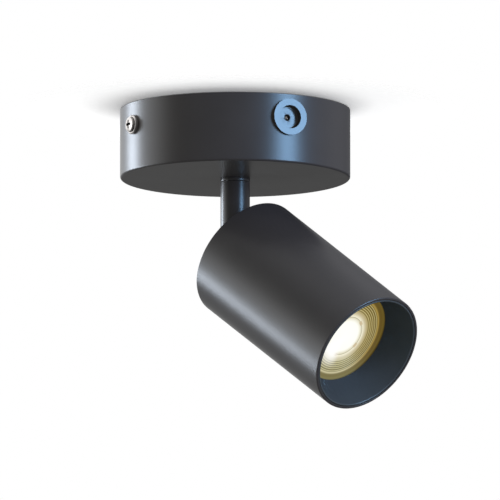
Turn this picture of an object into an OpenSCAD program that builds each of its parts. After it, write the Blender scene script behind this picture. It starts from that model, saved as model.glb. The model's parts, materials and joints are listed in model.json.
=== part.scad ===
// Surface mounted ceiling spotlight. A drawn canopy screws to a bracket on the ceiling, a stem turns
// under it, and a hollow knuckle tilts a tubular head that holds a twist-lock lamp behind a baffle.
// Millimetres. The origin is the centre of the ceiling face, and +Z points up.

/* [Canopy] */
// Outside diameter of the canopy
canopy_d = 100; // [94:1:112]
// Height of the canopy from the ceiling to its underside
canopy_h = 30; // [28:1:40]
// Wall of the canopy
canopy_wall = 1.2; // [0.8:0.1:1.8]
// Radius of the canopy's lower outer edge
canopy_edge_r = 1; // [0.4:0.1:1.4]

/* [Ceiling bracket] */
// Width of the bracket's strip
bracket_w = 26; // [24:1:30]
// Thickness of the bracket's strip
bracket_t = 1.5; // [1:0.1:2]
// Distance between the two ceiling fixing slots
fixing_spacing = 64; // [62:1:66]
// Width of a ceiling fixing slot
fixing_slot_w = 4.6; // [4:0.1:5.4]
// End to end length of a ceiling fixing slot
fixing_slot_l = 14; // [10:0.5:16]
// Diameter of the hole that the supply cable comes through
supply_hole_d = 10; // [8:0.5:11]
// Width of the bent ears that take the side screws
ear_w = 12; // [9:0.5:14]

/* [Side screws] */
// Height of the side screws below the ceiling
side_screw_drop = 10; // [8:0.5:14]
// Thread diameter of the side screws
side_screw_d = 3; // [2.5:0.1:3.5]
// Diameter of the side screws' pan heads
side_head_d = 6.3; // [5.5:0.1:7]
// Height of the side screws' pan heads
side_head_h = 1.5; // [1.2:0.1:2.4]
// Length of the side screws under the head
side_screw_l = 8; // [6:0.5:12]
// Diameter of the plated collars under the side screws
side_collar_d = 8.4; // [8:0.1:10]
// Thickness of the plated collars under the side screws
side_collar_h = 1.3; // [0.8:0.1:2]

/* [Side entry bush] */
// Height of the bush's axis below the ceiling
bush_drop = 10; // [9:0.5:13]
// Outside diameter of the bush's flange
bush_d = 16; // [14:0.1:18]
// How far the bush stands out of the canopy
bush_out = 1.2; // [1:0.1:3]
// Diameter of the bush's neck through the canopy
bush_neck_d = 12; // [11:0.1:13]
// Diameter of the recess in the bush's face
bush_recess_d = 10.2; // [8:0.1:10.6]
// Depth of the recess in the bush's face
bush_recess_depth = 3.1; // [2:0.1:3.8]
// Radius of the round corner between the recess's floor and its wall
bush_recess_r = 0.7; // [0.2:0.1:1]
// Diameter of the pilot hole in the recess's floor
bush_pilot_d = 2.4; // [2:0.1:3.4]
// Thickness of the ring nut behind the bush
bush_nut_h = 3; // [2:0.1:4]

/* [Terminal block] */
// Length of the terminal block along its row of poles
block_l = 24; // [24:0.5:28]
// Width of the terminal block along its wires
block_w = 15; // [14:0.5:15.5]
// Height of the terminal block
block_h = 10; // [9:0.5:11]
// Outside diameter of a terminal sleeve
sleeve_d = 4.8; // [4.4:0.1:5]
// Bore of a terminal sleeve
sleeve_bore = 3; // [2.6:0.1:3.2]

/* [Stem] */
// Diameter of the stem and its collar
stem_d = 12.8; // [12.4:0.1:14]
// Bore of the stem's tube
stem_bore = 10.2; // [10:0.1:10.6]
// Height of the fixed collar over the stem
collar_h = 1.5; // [1:0.1:2.5]
// Distance from the canopy's underside to the tilt axis
pivot_drop = 31; // [30:1:60]
// Thickness of the web that the stem hangs by
web_h = 4; // [3.4:0.1:6]
// Gap between the fixed collar and the turning stem
turn_gap = 0.2; // [0.1:0.05:0.3]
// Thread diameter of the hollow stem bolt
stem_bolt_d = 8; // [7.6:0.1:8.2]
// Bore of the hollow stem bolt
stem_bolt_bore = 5; // [4:0.1:5.6]
// Diameter of the turning stop's pin
stop_pin_d = 1; // [0.8:0.1:1.2]
// How far the stem turns each way from straight ahead, in degrees
pan_reach = 165; // [120:1:165]

/* [Knuckle] */
// Radius of the knuckle's round halves about the tilt axis
knuckle_r = 6.2; // [6:0.05:6.3]
// Radius of the hollow inside the knuckle
knuckle_hollow_r = 4.3; // [4:0.1:4.5]
// Thickness of the friction ring between the halves
friction_ring_h = 0.4; // [0.3:0.1:0.8]
// Diameter of the pivot screw
pivot_screw_d = 3; // [2.5:0.1:3.2]
// Distance from the tilt axis to the head's back face
neck_l = 8.2; // [8.2:0.1:14]
// Thread diameter of the hollow stud in the head
stud_d = 8; // [7:0.1:9]
// Bore of the hollow stud in the head
stud_bore = 5.4; // [5.2:0.1:5.6]

/* [Head] */
// Outside diameter of the head's tube
head_d = 55; // [55:0.5:62]
// Length of the head's tube
head_l = 86.6; // [86:0.5:110]
// Wall of the head's tube
head_wall = 1.2; // [1:0.1:1.4]
// Thickness of the head's back plate
back_t = 2; // [1.5:0.1:3]
// Depth of the back plate's skirt in the tube
back_skirt_l = 6; // [4:0.5:8]

/* [Baffle] */
// Width of the baffle's lip between its mouth and the tube
lip_w = 1; // [0.9:0.1:1.3]
// How far the baffle's cone comes in on each side
cone_in = 4.25; // [3.5:0.05:6]
// Depth of the baffle's inner opening from the rim
throat_depth = 15; // [14:0.5:20]
// Wall of the baffle's cone
baffle_wall = 1; // [0.8:0.1:1.2]
// Length of the baffle's skirt in the tube
baffle_skirt_l = 13; // [10:0.5:13.5]

/* [Lamp] */
// Gap between the lamp's face and the tube around it
lamp_play = 1.4; // [1.1:0.1:2.3]
// Height of the lamp's straight front band
lamp_band_h = 6; // [4:0.5:8]
// Length of the lamp's tapered body
lamp_taper_l = 26; // [24:0.5:28]
// Diameter of the lamp's plastic base
lamp_base_d = 28; // [26:0.5:30]
// Length of the lamp's plastic base
lamp_base_l = 13; // [11:0.5:14]
// Distance between the two lamp pins
pin_spacing = 10; // [9.5:0.1:10.5]
// Length of a lamp pin outside the base
pin_l = 6.4; // [6:0.1:7]
// Diameter of a lamp pin's neck
pin_neck_d = 3; // [2.6:0.1:3.2]
// Diameter of a lamp pin's head
pin_head_d = 5; // [4.6:0.1:5.2]
// Height of a lamp pin's head
pin_head_h = 2.4; // [2:0.1:2.8]
// How far the lamp turns in its holder, in degrees
lamp_twist = 16; // [12:1:20]

/* [Lampholder] */
// Width of the lampholder across its pins
holder_w = 28; // [27:0.5:32]
// Depth of the lampholder across its flat sides
holder_d = 18; // [17:0.5:22]
// Thickness of the holder's bridge strip
bridge_t = 1; // [0.8:0.1:1.5]
// Diameter of the insulated leads
lead_d = 1.2; // [1:0.05:1.25]

/* [Pose] */
// Heading of the head from straight ahead, in degrees
rest_pan = 19.5; // [-165:0.5:165]
// Tilt of the head from straight down, in degrees
rest_tilt = 55; // [-90:1:90]

/* [Hidden] */
$fn = 96;

// Clearances and small sizes that several pieces share
fit = 0.05;
loose = 0.1;
gap = 0.3;
cut = 1;
merge = 0.1;

// Places worked out from the sizes above
canopy_r = canopy_d / 2;
canopy_in_r = canopy_r - canopy_wall;
floor_z = -canopy_h + canopy_wall;
stem_r = stem_d / 2;
stem_top = -canopy_h - collar_h - turn_gap;
pivot_z = -canopy_h - pivot_drop;
web_z = stem_top - web_h;
shoulder = stem_r + 0.2;
bracket_gap = 0.5;
ear_x = sqrt(pow(canopy_in_r - bracket_gap, 2) - pow(ear_w / 2, 2));
ear_l = side_screw_drop + 6;

stem_nut_h = 4;
stem_nut_af = 13;
lock_washer_h = 0.8;
lock_washer_d = 14;
bolt_top = floor_z + lock_washer_h + stem_nut_h + 2;
bolt_head_d = stem_bore - 0.6;
bolt_head_h = 2;
pan_washer_h = 0.4;
bolt_head_z = web_z - pan_washer_h - fit;
stop_groove_r = (stem_bolt_d / 2 + fit + stem_r) / 2;
stop_pin_down = 1;
stop_clear = 2;
stop_pin_half = asin(stop_pin_d / 2 / stop_groove_r);
stop_land_half = 180 - pan_reach - stop_pin_half - stop_clear;

block_x = supply_hole_d / 2 + 1.2;
block_wire_z = -bracket_t - block_h * 0.55;
pole_pitch = 8;
sleeve_l = block_w - 1;
pole_w = pole_pitch * 0.84;
sleeve_wall = (sleeve_d - sleeve_bore) / 2;
terminal_screw_d = 2.6;
terminal_screw_h = 3.4;
terminal_well_d = terminal_screw_d + 1;
terminal_slot_w = 0.5;
terminal_slot_depth = 0.6;
block_screw_d = 2.4;
block_screw_head_d = 4.8;
block_screw_head_h = 1.3;
block_screw_l = 6.5;
earth_x = -14;
earth_screw_d = 3.5;
earth_head_d = 7;
earth_head_h = 2.4;
lug_t = 0.8;
lug_tail_w = 3.2;
lug_tail_l = 5;
lug_wire_l = 2.5;

half_gap = friction_ring_h / 2 + 0.02;
counterbore_d = 6.4;
counterbore_depth = 1.8;
knuckle_end = stem_r;
counterbore_x = knuckle_end - counterbore_depth;
hollow_x = counterbore_x - 1.1;
passage_x = 1.9;
passage_r = 1.4;
spigot_l = 8;
spigot_bore = 7;
spigot_floor = 1.5;
stud_floor = 0.4;
pivot_nut_h = 1.4;
spring_washer_h = 0.5;

head_r = head_d / 2;
head_in_r = head_r - head_wall;
back_u = neck_l;
mouth_u = back_u + head_l;
back_in_u = back_u + back_t;
stud_washer_h = 0.8;
stud_washer_d = 15;
stud_nut_h = 3.2;
stud_nut_af = 12;
stud_end_u = back_in_u + stud_washer_h + stud_nut_h + 1;
bridge_u = stud_end_u + 1.2;
holder_back_u = bridge_u + bridge_t;
mouth_d = 2 * (head_in_r - lip_w);
throat_d = mouth_d - 2 * cone_in;
throat_u = mouth_u - throat_depth;
lamp_d = 2 * (head_in_r - lamp_play);
lamp_face_u = throat_u - gap;
lamp_band_u = lamp_face_u - lamp_band_h;
lamp_taper_u = lamp_band_u - lamp_taper_l;
lamp_base_u = lamp_taper_u - lamp_base_l;
holder_front_u = lamp_base_u - gap;
pin_end_u = lamp_base_u - pin_l;
pin_well_u = pin_end_u - 1.5;
contact_t = pin_end_u - pin_well_u - loose;
lens_ring_w = 1.6;
lens_ring_lap = 0.6;
lens_r = lamp_d / 2 - lens_ring_w;
lens_t = 2.4;
lens_step = 0.6;
lens_ledge = 0.8;
lens_face_u = lamp_face_u - lens_step;
body_wall = 1.4;
taper_bulge = 3;

// Small screws of the bridge and the holder, and the blind holes under the bridge's feet
small_head_d = 4.6;
small_head_h = 1.6;
bridge_screw_d = 2.5;
holder_screw_d = 2.3;
holder_screw_l = 4.4;
blind_floor = 0.6;

lead_side = 1.1;
lead_pair = lead_d * 0.54;
lead_start = 2.7;
holder_lead_y = 2;

// Points on an arc about a centre, for profiles
function arc_points(cx, cy, r, from, to, steps = 8) =
    [for (i = [0:steps]) let (a = from + (to - from) * i / steps) [cx + r * cos(a), cy + r * sin(a)]];

// Points on a smooth lead that leaves a along a-b and arrives at d along c-d
function lead_route(a, b, c, d, steps = 12) =
    [for (i = [0:steps]) let (t = i / steps, s = 1 - t)
        s * s * s * a + 3 * s * s * t * b + 3 * s * t * t * c + t * t * t * d];

// Sweeps a round lead along a route; aside is any direction that the route never takes
module lead(route, d, aside, sides = 8) {
    last = len(route) - 1;
    ways = [for (i = [0:last]) route[min(i + 1, last)] - route[max(i - 1, 0)]];
    points = [for (i = [0:last])
        let (way = ways[i] / norm(ways[i]), across = cross(way, aside))
        let (u = across / norm(across), v = cross(way, u))
        for (k = [0:sides - 1]) route[i] + d / 2 * (cos(k * 360 / sides) * u + sin(k * 360 / sides) * v)];
    walls = [for (i = [0:last - 1]) for (k = [0:sides - 1])
        [i * sides + k, (i + 1) * sides + k, (i + 1) * sides + (k + 1) % sides, i * sides + (k + 1) % sides]];
    start = [[for (k = [0:sides - 1]) k]];
    finish = [[for (k = [0:sides - 1]) last * sides + sides - 1 - k]];
    polyhedron(points = points, faces = concat(walls, start, finish));
}

// A flat ring standing on its lower face
module ring(outer, inner, h) {
    difference() {
        cylinder(d = outer, h = h);
        translate([0, 0, -cut]) cylinder(d = inner, h = h + 2 * cut);
    }
}

// A hexagon nut with a round hole
module hex_nut(across_flats, hole, h) {
    difference() {
        cylinder(d = across_flats / cos(30), h = h, $fn = 6);
        translate([0, 0, -cut]) cylinder(d = hole, h = h + 2 * cut);
    }
}

// A pan head: its flat underside at zero, its rounded top upwards
module pan_head(d, h) {
    round_r = min(h * 0.6, d / 4);
    rotate_extrude()
        polygon(concat(
            [[0, 0], [d / 2, 0]], arc_points(d / 2 - round_r, h - round_r, round_r, 0, 90), [[0, h]]));
}

// The cross recess that a screwdriver turns, cut down from a head's top
module cross_recess(w, arm, depth) {
    for (a = [0, 90]) rotate([0, 0, a])
        translate([-w / 2, -arm / 2, -depth]) cube([w, arm, depth + cut]);
}

// The screwdriver slot across a small screw's top
module driver_slot(d, w, depth) {
    translate([-d / 2 - cut, -w / 2, -depth]) cube([d + 2 * cut, w, depth + cut]);
}

// Frames. Along each side screw +Z points outwards, and zero is on the canopy's wall
module at_side_screws() {
    for (a = [0, 180]) rotate([0, 0, a])
        translate([canopy_r, 0, -side_screw_drop]) rotate([0, 90, 0]) children();
}

// Along the bush's axis +Z points outwards, and zero is on the canopy's wall
module at_bush() {
    translate([0, -canopy_r, -bush_drop]) rotate([90, 0, 0]) children();
}

// The stem's frame turns with it: +X is along the tilt axis and -Y is where the head points
module at_stem() {
    rotate([0, 0, rest_pan]) children();
}

// The knuckle's frame is the stem's, with its zero on the tilt axis
module at_pivot() {
    at_stem() translate([0, 0, pivot_z]) children();
}

// The head's frame: zero on the tilt axis, +Z along the beam, +X along the tilt axis
module at_head() {
    at_pivot() rotate([180 - rest_tilt, 0, 0]) children();
}

// Canopy group
module ceiling_bracket() {
    color("silver") difference() {
        union() {
            intersection() {
                translate([-canopy_r, -bracket_w / 2, -bracket_t]) cube([2 * canopy_r, bracket_w, bracket_t]);
                translate([0, 0, -canopy_h]) cylinder(r = canopy_in_r - bracket_gap, h = 2 * canopy_h);
                translate([-ear_x, -canopy_r, -canopy_h]) cube([2 * ear_x, 2 * canopy_r, 2 * canopy_h]);
            }
            for (side = [-1, 1]) translate([side * (ear_x - bracket_t / 2), 0, -ear_l / 2])
                cube([bracket_t, ear_w, ear_l], center = true);
        }
        for (side = [-1, 1]) fixing_slot(side * fixing_spacing / 2);
        translate([0, 0, -bracket_t - cut]) cylinder(d = supply_hole_d, h = bracket_t + 2 * cut);
        translate([earth_x, 0, -bracket_t - cut])
            cylinder(d = earth_screw_d + 2 * fit, h = bracket_t + 2 * cut);
        block_screw_places() block_screw(fit, cut);
        at_side_screws() translate([0, 0, -canopy_r + cut])
            cylinder(d = side_screw_d + 2 * fit, h = canopy_r);
    }
}

// The block's two countersunk screws go down from the bracket's top, between the poles
module block_screw_places() {
    for (side = [-0.5, 0.5]) translate([block_x + block_w / 2, side * pole_pitch, 0]) children();
}

// One screw, or with a clearance and a rise the hole that takes it
module block_screw(clear = 0, rise = 0) {
    head_r = block_screw_head_d / 2 + clear;
    shank_r = block_screw_d / 2 + clear;
    rotate_extrude() polygon([
        [0, rise], [head_r, rise], [head_r, 0], [shank_r, -block_screw_head_h],
        [shank_r, -block_screw_l - clear], [0, -block_screw_l - clear]]);
}

module fixing_slot(x) {
    reach = (fixing_slot_l - fixing_slot_w) / 2;
    translate([x, 0, -bracket_t - cut]) {
        translate([-reach, -fixing_slot_w / 2, 0]) cube([2 * reach, fixing_slot_w, bracket_t + 2 * cut]);
        for (side = [-1, 1]) translate([side * reach, 0, 0])
            cylinder(d = fixing_slot_w, h = bracket_t + 2 * cut);
    }
}

module canopy() {
    color("dimgray") difference() {
        rotate_extrude() polygon(concat(
            [[0, floor_z], [0, -canopy_h]],
            arc_points(canopy_r - canopy_edge_r, -canopy_h + canopy_edge_r, canopy_edge_r, -90, 0),
            [[canopy_r, 0], [canopy_in_r, 0], [canopy_in_r, floor_z]]));
        translate([0, 0, -canopy_h - cut]) cylinder(d = stem_bolt_d + 2 * loose, h = canopy_wall + 2 * cut);
        at_side_screws() translate([0, 0, -2 * canopy_wall - cut])
            cylinder(d = side_screw_d + 2 * loose, h = 2 * canopy_wall + 2 * cut);
        at_bush() translate([0, 0, -4 * canopy_wall])
            cylinder(d = bush_neck_d + 2 * loose, h = 4 * canopy_wall + cut);
    }
}

module side_collars() {
    bevel = side_collar_h / 4;
    color("silver") at_side_screws() rotate_extrude() polygon([
        [side_screw_d / 2 + loose, 0], [side_collar_d / 2, 0], [side_collar_d / 2, side_collar_h - bevel],
        [side_collar_d / 2 - bevel, side_collar_h], [side_screw_d / 2 + loose, side_collar_h]]);
}

module side_screws() {
    recess_arm = side_head_d * 0.58;
    color("silver") at_side_screws() {
        difference() {
            translate([0, 0, side_collar_h]) pan_head(side_head_d, side_head_h);
            translate([0, 0, side_collar_h + side_head_h])
                cross_recess(side_head_d * 0.12, recess_arm, side_head_h * 0.55);
        }
        translate([0, 0, side_collar_h - side_screw_l]) cylinder(d = side_screw_d, h = side_screw_l);
    }
}

module entry_bush() {
    recess_r = bush_recess_d / 2;
    color("dimgray") difference() {
        union() {
            difference() {
                at_bush() translate([0, 0, -bush_d / 4]) cylinder(d = bush_d, h = bush_d / 4 + bush_out);
                translate([0, 0, -2 * canopy_h]) cylinder(r = canopy_r, h = 4 * canopy_h);
            }
            at_bush() translate([0, 0, -bush_neck_l()])
                cylinder(d = bush_neck_d, h = bush_neck_l() + bush_out / 2);
        }
        at_bush() translate([0, 0, bush_out - bush_recess_depth]) rotate_extrude() polygon(concat([[0, 0]],
            arc_points(recess_r - bush_recess_r, bush_recess_r, bush_recess_r, -90, 0),
            [[recess_r, bush_recess_depth + cut], [0, bush_recess_depth + cut]]));
        at_bush() translate([0, 0, -bush_neck_l() - cut])
            cylinder(d = bush_pilot_d, h = bush_neck_l() + bush_out + cut);
    }
}

// The flat ring nut bears on the canopy's curved inner wall by its two edges
bush_nut_d = bush_neck_d + 4;
bush_nut_slot_w = 2;
bush_pin_round = 0.6;
bush_pin_sunk = 0.4;

function bush_nut_seat() = sqrt(pow(canopy_in_r, 2) - pow(bush_nut_d / 2, 2));
function bush_neck_l() = canopy_r - bush_nut_seat() + bush_nut_h + loose;

module bush_nut() {
    color("silver") at_bush() translate([0, 0, bush_nut_seat() - canopy_r - bush_nut_h])
        difference() {
            ring(bush_nut_d, bush_neck_d + 2 * fit, bush_nut_h);
            for (a = [0, 90]) rotate([0, 0, a]) translate([-bush_nut_d, -bush_nut_slot_w / 2, -cut])
                cube([2 * bush_nut_d, bush_nut_slot_w, cut + bush_nut_h / 3]);
        }
}

module bush_pin() {
    pin_r = bush_pilot_d / 2 - fit;
    pin_l = bush_neck_l() + bush_out - bush_recess_depth - bush_pin_sunk;
    color("silver") at_bush() translate([0, 0, -bush_neck_l()])
        rotate_extrude() polygon(concat([[0, 0], [pin_r, 0]],
            arc_points(pin_r - bush_pin_round, pin_l - bush_pin_round, bush_pin_round, 0, 90),
            [[0, pin_l]]));
}

module pole_places() {
    for (pole = [-1, 0, 1]) translate([block_x + block_w / 2, pole * pole_pitch, 0]) children();
}

module terminal_block() {
    screw_wells = [-block_w / 4, block_w / 4];
    color("ivory") difference() {
        union() {
            translate([block_x, -block_l / 2, -bracket_t - block_h / 2])
                cube([block_w, block_l, block_h / 2]);
            pole_places() translate([-block_w / 2, -pole_w / 2, -bracket_t - block_h])
                cube([block_w, pole_w, block_h]);
        }
        pole_places() translate([-block_w / 2 - cut, 0, block_wire_z]) rotate([0, 90, 0])
            cylinder(d = sleeve_d + 2 * fit, h = block_w + 2 * cut);
        pole_places() for (x = screw_wells) translate([x, 0, -bracket_t - block_h - cut])
            cylinder(d = terminal_well_d, h = block_h * 0.45 + cut);
        block_screw_places() block_screw(fit);
    }
}

module block_screws() {
    color("silver") block_screw_places() difference() {
        block_screw();
        cross_recess(block_screw_d / 4, block_screw_head_d * 0.6, block_screw_head_h / 2);
    }
}

module terminal_sleeves() {
    color("goldenrod") pole_places() difference() {
        translate([-sleeve_l / 2, 0, block_wire_z]) rotate([0, 90, 0]) cylinder(d = sleeve_d, h = sleeve_l);
        translate([-sleeve_l / 2 - cut, 0, block_wire_z]) rotate([0, 90, 0])
            cylinder(d = sleeve_bore, h = sleeve_l + 2 * cut);
        for (x = [-block_w / 4, block_w / 4]) translate([x, 0, block_wire_z - sleeve_d])
            cylinder(d = terminal_screw_d + 2 * fit, h = sleeve_d);
    }
}

module terminal_screws() {
    color("silver") pole_places() for (x = [-block_w / 4, block_w / 4])
        translate([x, 0, block_wire_z - sleeve_d / 2 + sleeve_wall + 0.4]) rotate([180, 0, 0]) difference() {
            cylinder(d = terminal_screw_d, h = terminal_screw_h);
            translate([0, 0, terminal_screw_h])
                driver_slot(terminal_screw_d, terminal_slot_w, terminal_slot_depth);
        }
}

module earth_screw() {
    shank = bracket_t + lug_t;
    color("goldenrod") translate([earth_x, 0, -shank]) rotate([180, 0, 0]) difference() {
        union() {
            pan_head(earth_head_d, earth_head_h);
            translate([0, 0, merge - shank]) cylinder(d = earth_screw_d, h = shank);
        }
        translate([0, 0, earth_head_h]) cross_recess(earth_head_d / 8, earth_head_d * 0.55, earth_head_h / 2);
    }
}

module earth_lug() {
    color("silver") translate([earth_x, 0, -bracket_t - lug_t]) difference() {
        union() {
            cylinder(d = earth_head_d + 2 * gap, h = lug_t);
            translate([-lug_tail_w / 2, 0, 0]) cube([lug_tail_w, earth_head_d / 2 + lug_tail_l, lug_t]);
        }
        translate([0, 0, -cut]) cylinder(d = earth_screw_d + 2 * loose, h = lug_t + 2 * cut);
    }
}

// The earth lead joins the lug's tail to the block's middle pole
module earth_lead() {
    tail_y = earth_head_d / 2 + lug_tail_l;
    under = -bracket_t - lug_t - lead_d / 2;
    pole_end = block_x + block_w / 4 - terminal_screw_d;
    color("yellowgreen") lead(lead_route(
        [earth_x, tail_y - lug_wire_l, under], [earth_x, 2 * tail_y, under],
        [earth_x / 2, 0, block_wire_z], [pole_end, 0, block_wire_z]), lead_d, [0, 0, 1]);
}

module canopy_leads() {
    pole_end = block_x + block_w / 4 - terminal_screw_d;
    color("whitesmoke") for (side = [-1, 1]) lead(concat(lead_route(
        [pole_end, side * pole_pitch, block_wire_z], [-pole_end / 2, side * pole_pitch, block_wire_z],
        [0, side * lead_side, block_wire_z - pole_pitch / 2], [0, side * lead_side, bolt_top + 1]),
        [[0, side * lead_side, bolt_head_z - bolt_head_h]]), lead_d, [0.2, 1, 0.1]);
}

module stem_bolt() {
    color("silver") difference() {
        union() {
            translate([0, 0, bolt_head_z]) cylinder(d = stem_bolt_d, h = bolt_top - bolt_head_z);
            translate([0, 0, bolt_head_z - bolt_head_h]) cylinder(d = bolt_head_d, h = bolt_head_h);
        }
        translate([0, 0, bolt_head_z - bolt_head_h - cut])
            cylinder(d = stem_bolt_bore, h = bolt_top - bolt_head_z + bolt_head_h + 2 * cut);
    }
}

module stem_nut() {
    color("silver") translate([0, 0, floor_z + lock_washer_h])
        hex_nut(stem_nut_af, stem_bolt_d + 2 * fit, stem_nut_h);
}

module lock_washer() {
    teeth = 12;
    tooth_d = 1.2;
    color("silver") translate([0, 0, floor_z]) difference() {
        ring(lock_washer_d, stem_bolt_d + 2 * loose, lock_washer_h);
        for (i = [0:teeth - 1]) rotate([0, 0, i * 360 / teeth]) translate([lock_washer_d / 2, 0, -cut])
            cylinder(d = tooth_d, h = lock_washer_h + 2 * cut);
    }
}

module stem_collar() {
    color("dimgray") translate([0, 0, -canopy_h - collar_h]) difference() {
        ring(stem_d, stem_bolt_d + 2 * fit, collar_h);
        stop_pin_place() translate([0, 0, -cut]) cylinder(d = stop_pin_d, h = collar_h + 2 * cut);
    }
}

module stop_pin_place() {
    rotate([0, 0, 90]) translate([stop_groove_r, 0, 0]) children();
}

module stop_pin() {
    pin_z = -canopy_h - collar_h - turn_gap - stop_pin_down;
    color("silver") stop_pin_place() translate([0, 0, pin_z])
        cylinder(d = stop_pin_d, h = -canopy_h - pin_z);
}

// Stem group
module stem_tube() {
    tube_end = pivot_z + shoulder;
    groove_w = stop_pin_d + 2 * loose;
    color("dimgray") at_stem() difference() {
        translate([0, 0, tube_end]) cylinder(d = stem_d, h = stem_top - tube_end);
        translate([0, 0, tube_end - cut]) cylinder(d = stem_bore, h = web_z - tube_end + cut);
        translate([0, 0, web_z - cut]) cylinder(d = stem_bolt_d + 2 * fit, h = web_h + 2 * cut);
        translate([0, 0, stem_top - stop_pin_down - loose]) rotate([0, 0, -90 + stop_land_half])
            rotate_extrude(angle = 360 - 2 * stop_land_half)
                translate([stop_groove_r - groove_w / 2, 0]) square([groove_w, stop_pin_down + loose + cut]);
    }
}

module pan_washer() {
    color("silver") at_stem() translate([0, 0, web_z - pan_washer_h])
        ring(bolt_head_d, stem_bolt_d + 2 * fit, pan_washer_h);
}

// One half of the knuckle: +Z runs along its own rod, and the half lies on the -X side
module knuckle_half() {
    difference() {
        intersection() {
            translate([-stem_d, -stem_d, -stem_d]) cube([stem_d - half_gap, 2 * stem_d, stem_d + shoulder]);
            translate([0, 0, -stem_d]) cylinder(d = stem_d, h = stem_d + shoulder);
            union() {
                translate([-stem_d, 0, 0]) rotate([0, 90, 0]) cylinder(r = knuckle_r, h = 2 * stem_d);
                translate([-stem_d, -stem_d, 0]) cube([2 * stem_d, 2 * stem_d, shoulder]);
            }
        }
        translate([-hollow_x, 0, 0]) rotate([0, 90, 0]) cylinder(r = knuckle_hollow_r, h = hollow_x + cut);
        translate([-stem_d, 0, 0]) rotate([0, 90, 0])
            cylinder(d = counterbore_d, h = stem_d - counterbore_x);
        translate([-stem_d, 0, 0]) rotate([0, 90, 0]) cylinder(d = pivot_screw_d + 2 * fit, h = stem_d);
    }
}

// The lead passage from the knuckle's hollow to the rod
module knuckle_passage(end) {
    translate([-passage_x, 0, 0]) cylinder(r = passage_r, h = end);
}

module stem_knuckle() {
    color("dimgray") at_pivot() difference() {
        union() {
            knuckle_half();
            translate([0, 0, shoulder]) cylinder(d = stem_bore - 2 * fit, h = spigot_l);
        }
        knuckle_passage(shoulder + spigot_floor + cut);
        translate([0, 0, shoulder + spigot_floor]) cylinder(d = spigot_bore, h = spigot_l);
    }
}

module stem_leads() {
    lead_top = bolt_head_z - bolt_head_h - gap - pivot_z;
    color("whitesmoke") at_pivot() for (side = [-1, 1]) lead(lead_route(
        [-passage_x, side * lead_pair, lead_start], [-passage_x, side * lead_pair, shoulder + 6],
        [0, side * lead_side, shoulder + 6], [0, side * lead_side, lead_top]), lead_d, [0.2, 1, 0.1]);
}

module friction_ring() {
    color("black") at_pivot() translate([-friction_ring_h / 2, 0, 0]) rotate([0, 90, 0])
        ring(2 * knuckle_r - 0.4, 2 * knuckle_hollow_r + 0.2, friction_ring_h);
}

module spring_washer() {
    color("silver") at_pivot() translate([-counterbore_x - spring_washer_h, 0, 0]) rotate([0, 90, 0])
        ring(counterbore_d - 8 * loose, pivot_screw_d + 2 * loose, spring_washer_h);
}

// Head group
module head_knuckle() {
    color("dimgray") at_head() difference() {
        union() {
            mirror([1, 0, 0]) knuckle_half();
            translate([0, 0, shoulder]) cylinder(d = stem_d, h = back_u - shoulder);
            translate([0, 0, shoulder]) cylinder(d = stud_d, h = stud_end_u - shoulder);
        }
        mirror([1, 0, 0]) knuckle_passage(shoulder + stud_floor + cut);
        translate([0, 0, shoulder + stud_floor]) cylinder(d = stud_bore, h = stud_end_u);
    }
}

module pivot_screw() {
    pivot_head_h = counterbore_depth - spring_washer_h - 2 * loose;
    pivot_head_d = counterbore_d - 8 * loose;
    head_x = -counterbore_x - spring_washer_h - fit;
    nut_end_x = counterbore_x + pivot_nut_h + 2 * loose;
    color("silver") at_head() {
        translate([head_x, 0, 0]) rotate([0, -90, 0]) difference() {
            cylinder(d = pivot_head_d, h = pivot_head_h);
            translate([0, 0, pivot_head_h])
                cross_recess(pivot_head_d / 9, pivot_head_d * 0.55, pivot_head_h / 2);
        }
        translate([head_x - merge, 0, 0]) rotate([0, 90, 0])
            cylinder(d = pivot_screw_d, h = merge - head_x + nut_end_x);
    }
}

module pivot_nut() {
    nut_af = counterbore_d * cos(30) - 2 * loose;
    color("silver") at_head() translate([counterbore_x, 0, 0]) rotate([0, 90, 0])
        hex_nut(nut_af, pivot_screw_d + 2 * fit, pivot_nut_h);
}

module back_plate() {
    color("dimgray") at_head() difference() {
        translate([0, 0, back_u]) cylinder(r = head_in_r, h = back_t + back_skirt_l);
        translate([0, 0, back_in_u]) cylinder(r = head_in_r - head_wall, h = back_skirt_l + cut);
        translate([0, 0, back_u - cut]) cylinder(d = stud_d + 2 * loose, h = back_t + 2 * cut);
        bridge_feet() translate([0, 0, back_u + blind_floor])
            cylinder(d = bridge_screw_d + 2 * fit, h = back_t);
    }
}

module head_tube() {
    edge = head_wall * 0.4;
    color("dimgray") at_head() rotate_extrude() polygon(concat(
        [[head_in_r, back_u]],
        arc_points(head_r - edge, back_u + edge, edge, -90, 0, 4),
        arc_points(head_r - edge, mouth_u - edge, edge, 0, 90, 4),
        [[head_in_r, mouth_u]]));
}

module stud_washer() {
    color("silver") at_head() translate([0, 0, back_in_u])
        ring(stud_washer_d, stud_d + 2 * loose, stud_washer_h);
}

module stud_nut() {
    color("silver") at_head() translate([0, 0, back_in_u + stud_washer_h])
        hex_nut(stud_nut_af, stud_d + 2 * fit, stud_nut_h);
}

leg_x = stud_washer_d / 2 + 3;
foot_l = 7;
bridge_w = 10;
bridge_hole_d = 7;

module bridge_feet() {
    for (side = [-1, 1]) translate([side * (leg_x + bridge_t + foot_l / 2), 0, 0]) children();
}

module holder_screw_places() {
    for (side = [-1, 1]) translate([side * (leg_x + stud_d / 2) / 2, 0, 0]) children();
}

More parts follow.
